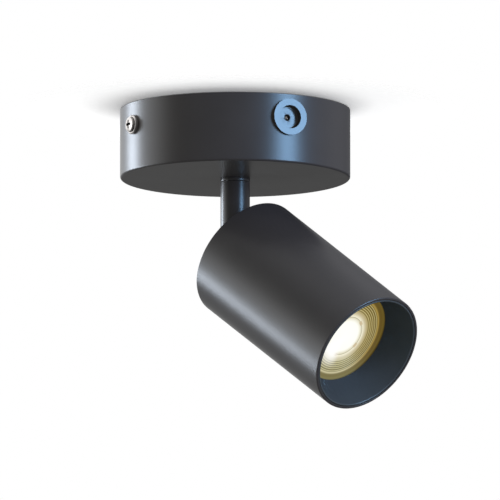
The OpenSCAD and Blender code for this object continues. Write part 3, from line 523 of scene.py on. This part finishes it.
# %% [markdown]
# **Zinc plate.** The bracket, washers and nuts are punched from steel strip and plated. Zinc dries in
# faint cloudy crystals, and the strip keeps its rolling lines, so noise that is stretched along one
# direction lies under the clouds.

# %% Zinc plated steel
zinc = Finish("zinc_plated_steel", Metallic=1.0)
cloud = zinc.noise(5 * mm, 3.0)
lines = zinc.node("ShaderNodeMapping", {}, {"Vector": zinc.where(), "Scale": (1, 14, 14)})
rolling = zinc.noise(1.6 * mm, 3.0, lines)
zinc.coloured(cloud, (0.50, 0.52, 0.55), (0.68, 0.67, 0.64))
zinc.shows("Roughness", 0.24 + rolling * 0.16 + cloud * 0.10)
zinc.bumps(rolling, 0.004 * mm)
zinc.goes_on("zinc_steel")

# %% [markdown]
# **Screw steel.** The terminal and block screws are small plated screws that a driver has touched, so
# their gloss is uneven at the scale of a scratch.

# %% Screw steel
steel = Finish("screw_steel", Metallic=1.0)
scuffs = steel.noise(0.35 * mm, 4.0)
steel.coloured(scuffs, (0.42, 0.42, 0.43), (0.66, 0.65, 0.63))
steel.shows("Roughness", 0.22 + scuffs * 0.26)
steel.bumps(scuffs, 0.004 * mm)
steel.goes_on("steel_screw")

# %% [markdown]
# **Brass.** Turned brass left bare goes dull and brown in blotches. The dull spots are darker and
# rougher together, which one mask drives.

# %% Brass
brass = Finish("turned_brass", Metallic=1.0)
tarnish = brass.between(brass.noise(1.8 * mm, 4.0), 0.42, 0.66)
brass.coloured(tarnish, (0.75, 0.57, 0.27), (0.46, 0.32, 0.15))
brass.shows("Roughness", 0.24 + tarnish * 0.24)
brass.bumps(brass.noise(0.2 * mm, 2.0), 0.003 * mm)
brass.goes_on("brass")

# %% [markdown]
# **Block plastic.** The terminal block is moulded in a hard cream plastic. Its mould was sparked, so the
# skin is faintly grained, and the tone drifts where the plastic flowed.

# %% Block plastic
block = Finish("block_plastic")
spark = block.noise(0.25 * mm, 2.0)
tone = block.noise(7 * mm, 2.0)
block.coloured(tone, (0.80, 0.76, 0.66), (0.87, 0.84, 0.76))
block.shows("Roughness", 0.42 + spark * 0.14)
block.bumps(spark, 0.006 * mm)
block.goes_on("block_plastic")

# %% [markdown]
# **Fired ceramic.** The lampholder is pressed steatite, fired and left unglazed: chalky, with small iron
# specks and pits. One mask makes a speck both dark and deep.

# %% Fired ceramic
steatite = Finish("fired_steatite")
speck = steatite.between(steatite.noise(0.5 * mm, 2.0), 0.66, 0.74)
fire = steatite.noise(9 * mm, 3.0)
clay = steatite.colours(fire, (0.83, 0.80, 0.73), (0.90, 0.88, 0.84))
steatite.coloured(speck, clay, (0.42, 0.32, 0.24))
steatite.shows("Roughness", 0.52 + fire * 0.16)
steatite.bumps(1 - speck, 0.012 * mm)
steatite.goes_on("steatite")

# %% [markdown]
# **Lead insulation.** White silicone sleeve, slightly dusty. The earth lead is green with two yellow
# stripes that run its whole length. A stripe has to follow the bent lead, so the lead's mesh carries
# how far round each point lies, and the finish reads that.

# %% Lead sleeves
sleeve = Finish("white_lead_sleeve")
dust = sleeve.noise(1.2 * mm, 3.0)
sleeve.coloured(dust, (0.74, 0.73, 0.70), (0.86, 0.86, 0.84))
sleeve.shows("Roughness", 0.38 + dust * 0.18)
sleeve.bumps(sleeve.noise(0.4 * mm), 0.008 * mm)
sleeve.goes_on("lead_sleeve")

stripe = Finish("earth_lead_sleeve")
round_way = stripe.node("ShaderNodeAttribute", {"attribute_name": "round"}, {}, "Fac")
yellow = stripe.between(round_way, 0.28, 0.34)
dust = stripe.noise(1.2 * mm, 3.0)
stripe.coloured(yellow, (0.05, 0.30, 0.06), (0.78, 0.66, 0.06))
stripe.shows("Roughness", 0.36 + dust * 0.2)
stripe.bumps(dust, 0.006 * mm)
stripe.goes_on("earth_sleeve")

# %% [markdown]
# **Pressed fibre.** The friction ring between the knuckle's halves is a dark, slightly hairy board.

# %% Pressed fibre
fibre = Finish("pressed_fibre")
hairs = fibre.noise(0.3 * mm, 5.0)
fibre.coloured(hairs, (0.035, 0.032, 0.030), (0.10, 0.09, 0.085))
fibre.shows("Roughness", 0.6 + hairs * 0.25)
fibre.bumps(hairs, 0.02 * mm)
fibre.goes_on("fibre")

# %% [markdown]
# **Baffle black.** The cone in front of the lamp is moulded in a deep satin black. It must not shine,
# so its skin is finely sparked, but it still takes a cool sheen from the right.

# %% Baffle black
black = Finish("baffle_black")
spark = black.noise(0.14 * mm, 2.0)
cloud = black.noise(8 * mm, 2.0)
black.coloured(cloud, (0.050, 0.061, 0.062), (0.061, 0.074, 0.075))
black.shows("Roughness", 0.36 + spark * 0.10)
black.bumps(spark, 0.003 * mm)
black.goes_on("baffle_black")

# %% [markdown]
# **Lamp parts.** The base is glossy white plastic. The tapered body and the heat plate are pressed
# aluminium, whose press leaves rings round the axis, so a noise reads only the height along the beam.
# The pins are plated and worn at their heads.

# %% Lamp base, shell and pins
plastic = Finish("lamp_base_plastic")
flow = plastic.noise(6 * mm, 2.0)
plastic.coloured(flow, (0.80, 0.80, 0.77), (0.88, 0.88, 0.86))
plastic.shows("Roughness", 0.24 + flow * 0.10)
plastic.bumps(plastic.noise(0.5 * mm), 0.004 * mm)
plastic.goes_on("lamp_plastic")

shell = Finish("pressed_aluminium", Metallic=1.0)
ring_size = 0.5 * mm
rings = shell.node("ShaderNodeTexNoise", {"noise_dimensions": "1D"},
                   {"W": shell.along(pivot, beam), "Scale": 1 / ring_size, "Detail": 3.0})
shell.coloured(rings, (0.68, 0.68, 0.69), (0.80, 0.80, 0.79))
shell.shows("Roughness", 0.26 + rings * 0.16)
shell.bumps(rings, 0.008 * mm)
shell.goes_on("lamp_shell")

pin = Finish("lamp_pin_nickel", Metallic=1.0)
worn = pin.noise(0.8 * mm, 3.0)
pin.coloured(worn, (0.72, 0.71, 0.68), (0.58, 0.55, 0.48))
pin.shows("Roughness", 0.20 + worn * 0.18)
pin.bumps(worn, 0.004 * mm)
pin.goes_on("lamp_pin")

# %% [markdown]
# **Driver board and phosphor.** Under green lacquer the copper tracks show as a paler maze: the squared
# cells of a Voronoi texture give it. The light chip's phosphor is a matt, grainy yellow gel.

# %% Driver board and phosphor
board = Finish("driver_board")
cell_size = 2.2 * mm
cells = board.node("ShaderNodeTexVoronoi", {"distance": "MANHATTAN"},
                   {"Vector": board.where(), "Scale": 1 / cell_size})
track = board.between(cells, 0.30, 0.36)
board.coloured(track, (0.03, 0.16, 0.07), (0.07, 0.30, 0.12))
board.shows("Roughness", 0.30 + track * 0.10)
board.bumps(track, 0.03 * mm)
board.goes_on("board")

phosphor = Finish("phosphor_gel")
gel = phosphor.noise(0.2 * mm, 3.0)
phosphor.coloured(gel, (0.85, 0.66, 0.18), (0.95, 0.82, 0.34))
phosphor.shows("Roughness", 0.55 + gel * 0.2)
phosphor.bumps(gel, 0.02 * mm)
phosphor.goes_on("phosphor")

# %% [markdown]
# **Lit lens.** Behind the lens the chip is on. Its middle burns out to white, a scalloped edge of small
# facets goes round it, then come fine warm rings that dim outwards, and a brown border. Real light
# through real ridges would need a long render to settle, so the glow is painted by radius as the lens
# shows it, and the ridges are real geometry on top. The side that faces the camera less, at the lower
# left, is washed out by the light, and the opposite side is warmer.

# %% Lit lens
lens = Finish("lit_lens", Roughness=0.32, IOR=1.49, Specular_IOR_Level=0.2,
              Emission_Strength=1.0, Base_Color=(0.05, 0.045, 0.03, 1))
centre = pivot + beam * reach("lamp_lens", at_head)[1]
across_axis, over_axis = at_head.col[0].xyz, at_head.col[1].xyz
across, over = lens.along(centre, across_axis), lens.along(centre, over_axis)
radius = (across * across + over * over) ** 0.5 / mm
angle = over.math("ARCTAN2", across)
glow_stops = (
    (0.0, (1.0, 1.0, 0.97)), (7.0, (1.0, 1.0, 0.93)), (8.0, (0.88, 0.86, 0.74)),
    (8.8, (0.74, 0.70, 0.52)), (9.8, (0.86, 0.82, 0.64)), (11.0, (0.64, 0.59, 0.42)),
    (12.0, (0.58, 0.54, 0.35)), (13.0, (0.43, 0.40, 0.22)), (17.3, (0.27, 0.25, 0.13)),
    (18.2, (0.60, 0.55, 0.33)), (19.0, (0.19, 0.16, 0.06)), (20.0, (0.17, 0.14, 0.045)),
    (21.0, (0.20, 0.18, 0.07)), (22.5, (0.05, 0.04, 0.02)),
)
glow_end = glow_stops[-1][0]
ramp_stops = [(distance / glow_end, colour) for distance, colour in glow_stops]
glow = lens.node("ShaderNodeValToRGB", {"stops": ramp_stops}, {"Fac": radius / glow_end})

warm_side = math.radians(33)
warmth = lens.between((angle - warm_side).math("COSINE"), -0.1, 0.75) * lens.between(radius, 9, 14.5)
warm_glow = lens.node("ShaderNodeMix", {"data_type": "RGBA", "blend_type": "MULTIPLY"},
                      {0: warmth, 6: glow, 7: (0.66, 0.50, 0.19, 1)}, 2)

ring_pitch, ring_first, ring_last = 1.0, 12.0, 17.6
wave = ((radius - ring_first) * (math.tau / ring_pitch)).math("SINE")
ring_zone = lens.between(radius, ring_first, ring_first + 1)
ring_zone = ring_zone * lens.between(radius, ring_last + 0.3, ring_last)
groove = lens.between(wave, -0.1, -0.9) * ring_zone * 0.75
crest = lens.between(wave, 0.4, 1.0) * ring_zone * 0.6
lined = lens.colours(groove, warm_glow, (0.12, 0.09, 0.02))
lined = lens.colours(crest, lined, (0.80, 0.73, 0.38))

edge_r, edge_half, notches, notch_turn = 9.2, 0.22, 5, 1.9
from_edge = (radius - edge_r).math("ABSOLUTE")
gap = lens.between((angle * notches + notch_turn).math("COSINE"), 0.72, 0.9)
dark_edge = lens.between(from_edge, edge_half, edge_half * 0.3) * (1 - gap)
notch = lens.between(from_edge, 0.9, 0.5) * gap
lined = lens.colours(dark_edge * 0.75, lined, (0.26, 0.24, 0.14))
lined = lens.colours(notch * 0.7, lined, (0.52, 0.38, 0.20))

pale_side = math.radians(-120)
pale = lens.between((angle - pale_side).math("COSINE"), 0.72, 0.98) * lens.between(radius, 17.5, 8.5)
lined = lens.colours(pale, lined, (1.0, 1.0, 0.98))
lens.shows("Emission Color", lined)
lens.goes_on("lens_plastic")

rim = Finish("lens_rim_plastic")
tone = rim.noise(2 * mm, 3.0)
rim.coloured(tone, (0.13, 0.09, 0.035), (0.20, 0.15, 0.07))
rim.shows("Roughness", 0.34 + tone * 0.12)
rim.bumps(tone, 0.004 * mm)
rim.goes_on("lens_rim")

# %% [markdown]
# ## The CAD nodes take their finishes
# Each node names its slot in the record, so one loop dresses them all.

# %% Dress the CAD nodes
slot_of = {row["node"]: row["material_slot"] for row in frame["record"]["subparts"]}
for name, node in nodes.items():
    for material_slot in node.material_slots:
        material_slot.material = finishes[slot_of[name]]
print("dressed", len(nodes), "nodes in", len(finishes), "finishes")

# %% [markdown]
# ## How a new piece joins the light
# Every new piece stands for a CAD node. It takes that node's body, so that it turns with the right
# joint, and that node's finish. Edges are rounded by a Bevel modifier that only takes edges which turn
# by more than thirty degrees, and normals weighted by area keep the flat faces flat.

# %% Dress a new piece
body_of = {name: body for body, names in frame["record"]["behaviour"]["bodies"].items() for name in names}
sharp_turn = math.radians(30)
tiny = 0.002 * mm


def made(name, shape):
    """Turns a finished bmesh into an object in the scene."""
    for face in shape.faces:
        face.smooth = True
    data = bpy.data.meshes.new(name)
    shape.to_mesh(data)
    shape.free()
    return in_scene(name, data)


def dress(piece, *replaced):
    """Gives a new piece the body and finish of the CAD node that it stands for."""
    slot = slot_of[replaced[0]]
    piece.data.materials.clear()
    piece.data.materials.append(finishes[slot])
    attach(piece, body_of[replaced[0]])
    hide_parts(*replaced)
    return piece


def round_edges(piece, width):
    """Rounds the sharp edges of a piece by a width and keeps its flat faces flat."""
    edge = piece.modifiers.new("round_edges", "BEVEL")
    edge.width = width
    edge.segments = 2
    edge.limit_method = "ANGLE"
    edge.angle_limit = sharp_turn
    flat = piece.modifiers.new("flat_faces", "WEIGHTED_NORMAL")
    flat.mode = "FACE_AREA"
    return piece


print("bodies:", sorted(set(body_of.values())))

# %% [markdown]
# ## Turned pieces
# The canopy, the tube, the baffle and the collars are all round. Typing their profiles again would
# repeat the CAD, and could leave it. Instead the CAD node is cut by a half plane through its own axis,
# and only the outline of the cut is kept. Points in the middle of a straight run are dissolved, and the
# wire is spun into a finer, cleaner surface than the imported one.

# %% Outline and spin
straight_turn = math.radians(0.5)


def is_straight(corner):
    """True where two edges of a wire run on in one line."""
    if len(corner.link_edges) != 2:
        return False
    before, after = (edge.other_vert(corner).co - corner.co for edge in corner.link_edges)
    return before.angle(-after) < straight_turn


def cut_outline(node, spot, turn):
    """The outline of a CAD node in the half plane at an angle about the axis of a place."""
    shape = bmesh.new()
    shape.from_mesh(nodes[node].data)
    shape.transform(Matrix.Rotation(-turn, 4, "Z") @ spot.inverted())
    bmesh.ops.remove_doubles(shape, verts=shape.verts, dist=tiny)
    everything = shape.verts[:] + shape.edges[:] + shape.faces[:]
    cut = bmesh.ops.bisect_plane(shape, geom=everything, dist=tiny, plane_co=(0, 0, 0), plane_no=(0, 1, 0))
    kept = {part for part in cut["geom_cut"] if isinstance(part, bmesh.types.BMEdge)}
    bmesh.ops.delete(shape, geom=shape.faces[:], context="FACES_ONLY")
    bmesh.ops.delete(shape, geom=[edge for edge in shape.edges if edge not in kept], context="EDGES")
    wire = shape.verts[:] + shape.edges[:]
    bmesh.ops.bisect_plane(shape, geom=wire, dist=tiny, plane_co=(0, 0, 0), plane_no=(1, 0, 0),
                           clear_inner=True)
    bmesh.ops.dissolve_verts(shape, verts=[corner for corner in shape.verts if is_straight(corner)])
    return shape


def spun(shape, spot, steps):
    """Spins a wire about its Z and puts the solid in its place."""
    wire = shape.verts[:] + shape.edges[:]
    bmesh.ops.spin(shape, geom=wire, cent=(0, 0, 0), axis=(0, 0, 1), angle=math.tau, steps=steps,
                   use_merge=True)
    bmesh.ops.remove_doubles(shape, verts=shape.verts, dist=tiny)
    bmesh.ops.recalc_face_normals(shape, faces=shape.faces)
    shape.transform(spot)
    return shape


def turned(node, spot, width, turn=45, steps=192):
    """A CAD node made again as a turned piece with rounded edges."""
    outline = cut_outline(node, spot, math.radians(turn))
    corners = len(outline.verts)
    piece = dress(made(node + "_turned", spun(outline, spot, steps)), node)
    print(f"{node}: outline of {corners} corners, {len(piece.data.polygons)} faces")
    return round_edges(piece, width)


print("lathe: cut_outline, spun, turned")

# %% [markdown]
# The holes that cross a turned piece are bored afterwards, as a maker would. A Boolean modifier cuts
# with a cylinder, and its result is kept as the mesh, so the drill itself can go.

# %% Cut away and bore
drill_steps = 48


def cut_away(piece, shape):
    """Takes the solid in a bmesh away from a piece."""
    tool = made("tool", shape)
    cut = piece.modifiers.new("cut", "BOOLEAN")
    cut.object = tool
    cut.operation = "DIFFERENCE"
    cut.solver = "EXACT"
    bpy.context.view_layer.update()
    whole = piece.evaluated_get(bpy.context.evaluated_depsgraph_get())
    piece.modifiers.remove(cut)
    piece.data = bpy.data.meshes.new_from_object(whole)
    bpy.data.objects.remove(tool)
    return piece


def bored(piece, spot, radius, low, high):
    """Bores a round hole along the axis of a place, between two heights."""
    shape = bmesh.new()
    middle = spot @ Matrix.Translation((0, 0, (low + high) / 2))
    bmesh.ops.create_cone(shape, cap_ends=True, segments=drill_steps, radius1=radius, radius2=radius,
                          depth=high - low, matrix=middle)
    return cut_away(piece, shape)


print("drill:", drill_steps, "steps round")

# %% [markdown]
# ## Canopy
# The canopy is a cup drawn from sheet: one turned shell. Two side screws hold it to the bracket, and
# the entry bush goes through its front, so three holes cross its wall. Their places come from the CAD
# pieces that sit in them. Two level cuts, above and below the holes, keep the odd faces that a Boolean
# leaves in the narrow band between them, so that the highlights on the wall stay clean.

# %% Canopy with its holes
canopy_wall = 1.2 * mm
screw_hole_r = 1.6 * mm
bush_hole_r = 6.1 * mm
band_half, past_wall = 1.1 * bush_hole_r, 1.1 * canopy_r
clear_of_holes = math.radians(40)
fine_steps = 256

shape = spun(cut_outline("canopy", at_ceiling, clear_of_holes), at_ceiling, fine_steps)
for level in (at_bush.translation.z - band_half, at_bush.translation.z + band_half):
    everything = shape.verts[:] + shape.edges[:] + shape.faces[:]
    bmesh.ops.bisect_plane(shape, geom=everything, dist=tiny, plane_co=(0, 0, level), plane_no=(0, 0, 1))
canopy = dress(made("canopy_turned", shape), "canopy")
shadow_casters.objects.link(canopy)
bored(canopy, at_side, screw_hole_r, -past_wall, past_wall)
bored(canopy, at_bush, bush_hole_r, canopy_r - 3 * canopy_wall, past_wall)
round_edges(canopy, 0.25 * mm)
print("canopy faces:", len(canopy.data.polygons))
print("screw axis at", round(at_side.translation.z / mm, 1), "mm")

# %% [markdown]
# ## Collars and stem
# The same lathe makes the small turned pieces. Each has an edge round of its own size, small against
# the piece: a bright plated collar with a fat round would look like a toy. The smallest take fewer
# steps, because normals weighted by area need faces that aren't too tiny: on tinier ones they bend, and
# a flat face would shade like a dish.

# %% Small turned pieces
# Node, place, width of the edge round in millimetres, steps.
small_turned = (
    ("side_collars", at_side, 0.08, 32),
    ("stem_collar", at_ceiling, 0.15, 128),
    ("stem_tube", at_ceiling, 0.12, 128),
    ("stem_bolt", at_ceiling, 0.15, 96),
    ("pan_washer", at_ceiling, 0.05, 96),
)
for node, spot, width, steps in small_turned:
    turned(node, spot, width * mm, turn=90, steps=steps)
leave_out(left_box, bpy.data.objects["side_collars_turned"])

# %% [markdown]
# ## Side bush
# The bush is turned from bar: a flat flange, a round recess and a small drilled hole in its floor. A
# cone cuts a chamfer on the hole, because the photograph shows it with a soft, wide edge.

# %% Side bush
bush_steps = 64
chamfer, pin_below_floor = 0.35 * mm, 0.4 * mm
pin_low, pin_high, _, pin_r = reach("bush_pin", at_bush)

outline = cut_outline("entry_bush", at_bush, math.radians(90))
bush = dress(made("entry_bush_turned", spun(outline, at_bush, bush_steps)), "entry_bush")
recess_floor = at_bush @ Matrix.Translation((0, 0, pin_high + pin_below_floor))
shape = bmesh.new()
bmesh.ops.create_cone(shape, cap_ends=True, segments=bush_steps, radius1=pin_r,
                      radius2=pin_r + 2 * chamfer, depth=2 * chamfer, matrix=recess_floor)
round_edges(cut_away(bush, shape), 0.12 * mm)
print("bush", round(2 * bush_r / mm, 1), "mm, chamfer", round(chamfer / mm, 2), "mm")

# %% [markdown]
# ## Side screws and bush pin
# A pan head is pressed, so its top is a low dome and its cross recess narrows as it goes in. Both show
# in the photograph: the dome draws the lamp into a thin bright band, and the recess is the darkest spot
# on it. The outline is a parabola over a short flank, spun, and two wedges cut the cross. The pin in
# the bush ends in a ball nose, which shines in one small spot and is dark round it.

# %% Side screws and bush pin
def spun_outline(name, node, spot, outline, steps=64):
    """A turned piece from its outline, a list of radius and height."""
    shape = bmesh.new()
    wire = [shape.verts.new((r, 0, z)) for r, z in outline]
    for first, second in zip(wire, wire[1:]):
        shape.edges.new((first, second))
    return dress(made(name, spun(shape, spot, steps)), node)


def wedge(spot, turn, length, width, taper, depth):
    """A bar that narrows down to depth below a place: a cross recess is two of them."""
    shape = bmesh.new()
    bmesh.ops.create_cube(shape, size=1)
    for corner in shape.verts:
        above = corner.co.z > 0
        narrow = 1 if above else taper
        level = width / 8 if above else -depth
        corner.co = (corner.co.x * length * narrow, corner.co.y * width * narrow, level)
    shape.transform(spot @ Matrix.Rotation(turn, 4, "Z"))
    return shape


thread_r, screw_l, end_chamfer = 1.5 * mm, 9.5 * mm, 0.4 * mm
cross_l, cross_w, cross_depth, cross_taper = 4.1 * mm, 1.15 * mm, 1.4 * mm, 0.6
dome_steps, nose_steps = 12, 16
under_head, screw_end = screw_top - head_h, screw_top - screw_l
dome_radii = [screw_r * i / dome_steps for i in range(dome_steps + 1)]
screw_outline = [(r, screw_top - dome_drop * (r / screw_r) ** 2) for r in dome_radii]
screw_outline += [(screw_r, under_head), (thread_r, under_head), (thread_r, screw_end + end_chamfer)]
screw_outline += [(thread_r - end_chamfer, screw_end), (0, screw_end)]
for side in (-1, 1):
    spot = place(at_side.translation, (side, 0, 0), (0, 0, 1))
    screw = spun_outline("side_screw", "side_screws", spot, screw_outline)
    recess = spot @ Matrix.Translation((0, 0, screw_top))
    for turn in (0, math.pi / 2):
        cut_away(screw, wedge(recess, turn, cross_l, cross_w, cross_taper, cross_depth))
    leave_out(left_box, round_edges(screw, 0.07 * mm))

turns = [math.pi / 2 / nose_steps * i for i in range(nose_steps + 1)]
nose = [(pin_r * math.sin(turn), pin_high - pin_r * (1 - math.cos(turn))) for turn in turns]
pin = spun_outline("bush_pin_nosed", "bush_pin", at_bush, nose + [(pin_r, pin_low), (0, pin_low)])
for box in (right_box, left_box):
    leave_out(box, pin)
keep_for(pin_card, pin)
print("screw head", round(2 * screw_r / mm, 1), "mm, pin", round(2 * pin_r / mm, 1), "mm")

# %% [markdown]
# ## Head
# The tube, its baffle, the lamp's rim and its heat plate are the large turned pieces about the beam. The
# tube's long side mirrors the boxes as straight streaks, so it takes as many steps as the canopy.

# %% Head tube, baffle and lamp rim
for node, width in (("head_tube", 0.16), ("baffle", 0.14), ("lens_ring", 0.12), ("led_plate", 0.10)):
    turned(node, at_head, width * mm, steps=fine_steps)

# %% [markdown]
# ## Lens
# The lens is a moulded disc. Fine rings are turned in the mould round a smooth middle, and the middle
# swells a little over the light chip. The outline below is the real one: a low arc, a plain land, then
# ridges whose height is a wave of the radius. Bump alone would show no rings in the exported mesh. The
# painted glow is for the camera alone: as a lamp it would only fill the baffle with noise.

# %% Ridged lens
lens_back, lens_front, _, lens_r = reach("lamp_lens", at_head)
dome_r, dome_rise, ridge_rise = 8.4 * mm, 0.45 * mm, 0.12 * mm
ridge_start, ridge_end, ridge_pitch = ring_first * mm, ring_last * mm, ring_pitch * mm
lens_step, lens_turn_steps = 0.1 * mm, 192
land = lens_front - dome_rise


def lens_height(r):
    """Height of the lens's front at a radius."""
    if r < dome_r:
        return land + (lens_front - land) * (1 - (r / dome_r) ** 2)
    if ridge_start < r < ridge_end:
        wave = math.sin(math.tau * (r - ridge_start) / ridge_pitch)
        return land + ridge_rise * wave
    return land


count = round(lens_r / lens_step)
radii = [lens_r * i / count for i in range(count + 1)]
lens_outline = [(r, lens_height(r)) for r in radii] + [(lens_r, lens_back), (0, lens_back)]
lens_piece = spun_outline("lens_ridged", "lamp_lens", at_head, lens_outline, lens_turn_steps)
lens_piece.visible_diffuse = False
lens_piece.visible_glossy = False
print("lens radius", round(lens_r / mm, 1), "mm,", len(lens_piece.data.polygons), "faces")

# %% [markdown]
# ## Leads
# Insulated wire bends in smooth curves. Each lead is one cubic curve between the point where it leaves
# a terminal and the point where it enters the stem, swept by the curve's own round bevel and then made
# a mesh. A swept curve numbers its points ring by ring, so the place of a point in its ring says how
# far round the lead it lies, which the striped sleeve needs.

# %% Leads in the canopy
lead_r, ring_points, path_steps = 0.6 * mm, 16, 24
wire_z, pole_end = -7 * mm, 7.35 * mm
pole_pitch, lead_side = 8 * mm, 1.1 * mm
stem_entry = -21 * mm
earth_x, lug_end, lug_z, earth_bow = -14 * mm, 6 * mm, -2.9 * mm, 17 * mm


def lead(name, start, leave, arrive, end, tail=None):
    """A round lead on a cubic curve, with an optional straight tail."""
    curve = bpy.data.curves.new(name, "CURVE")
    curve.dimensions = "3D"
    curve.bevel_depth = lead_r
    curve.bevel_resolution = ring_points // 4 - 1
    curve.resolution_u = path_steps
    curve.use_fill_caps = True
    path = curve.splines.new("BEZIER")
    path.bezier_points.add(1 if tail is None else 2)
    first, last = path.bezier_points[0], path.bezier_points[1]
    first.co, first.handle_right, first.handle_left = start, leave, start
    last.co, last.handle_left, last.handle_right = end, arrive, end
    if tail is not None:
        point = path.bezier_points[2]
        point.co, point.handle_left, point.handle_right = tail, tail, tail
    sweep = bpy.data.objects.new(name, curve)
    data = bpy.data.meshes.new_from_object(sweep)
    bpy.data.objects.remove(sweep)
    data.name = name
    for face in data.polygons:
        face.use_smooth = len(face.vertices) == 4
    round_way = data.attributes.new("round", "FLOAT", "POINT")
    for index, value in enumerate(round_way.data):
        value.value = index % ring_points / ring_points
    return in_scene(name, data)


lead_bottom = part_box("canopy_leads")[0].z
pair = []
for side in (-1, 1):
    pole, inner = side * pole_pitch, side * lead_side
    clamp, entry = Vector((pole_end, pole, wire_z)), Vector((0, inner, stem_entry))
    pair.append(lead("supply_lead", clamp, Vector((-pole_end / 2, pole, wire_z)),
                     Vector((0, inner, wire_z - pole_pitch / 2)), entry, Vector((0, inner, lead_bottom))))
for piece in pair:
    dress(piece, "canopy_leads")
earth = lead("earth_lead_striped", Vector((earth_x, lug_end, lug_z)), Vector((earth_x, earth_bow, lug_z)),
             Vector((earth_x / 2, 0, wire_z)), Vector((pole_end, 0, wire_z)))
dress(earth, "earth_lead")
print("leads:", [piece.name for piece in pair + [earth]])

# %% [markdown]
# ## Softened edges
# Punched, moulded and hexagonal pieces have no axis to spin about. A copy of the CAD node's mesh is
# merged, its flat faces are joined, and the same Bevel modifier rounds it.

# %% Softened copies
same_plane = math.radians(0.3)


def softened(node, width):
    """A copy of a CAD node with its sharp edges rounded by width."""
    shape = bmesh.new()
    shape.from_mesh(nodes[node].data)
    bmesh.ops.remove_doubles(shape, verts=shape.verts, dist=tiny)
    bmesh.ops.dissolve_limit(shape, angle_limit=same_plane, verts=shape.verts, edges=shape.edges,
                             delimit={"NORMAL"})
    return round_edges(dress(made(node + "_softened", shape), node), width)


edge_width = {
    "bush_nut": 0.15, "ceiling_bracket": 0.2, "terminal_block": 0.3,
    "terminal_screws": 0.06, "terminal_sleeves": 0.08, "block_screws": 0.08, "earth_screw": 0.1,
    "earth_lug": 0.08, "stem_nut": 0.2, "lock_washer": 0.06, "stem_knuckle": 0.2, "head_knuckle": 0.2,
    "pivot_screw": 0.15, "pivot_nut": 0.15, "spring_washer": 0.08, "back_plate": 0.15,
    "lamp_base": 0.2, "lampholder": 0.25, "holder_bridge": 0.15,
}
for node, width in edge_width.items():
    softened(node, width * mm)
print("softened:", len(edge_width), "of", len(nodes))

# %% [markdown]
# ## Colour view
# The plain Standard view shows colours as they are, and film-like views would grey the white.

# %% View transform
bpy.context.scene.view_settings.view_transform = "Standard"
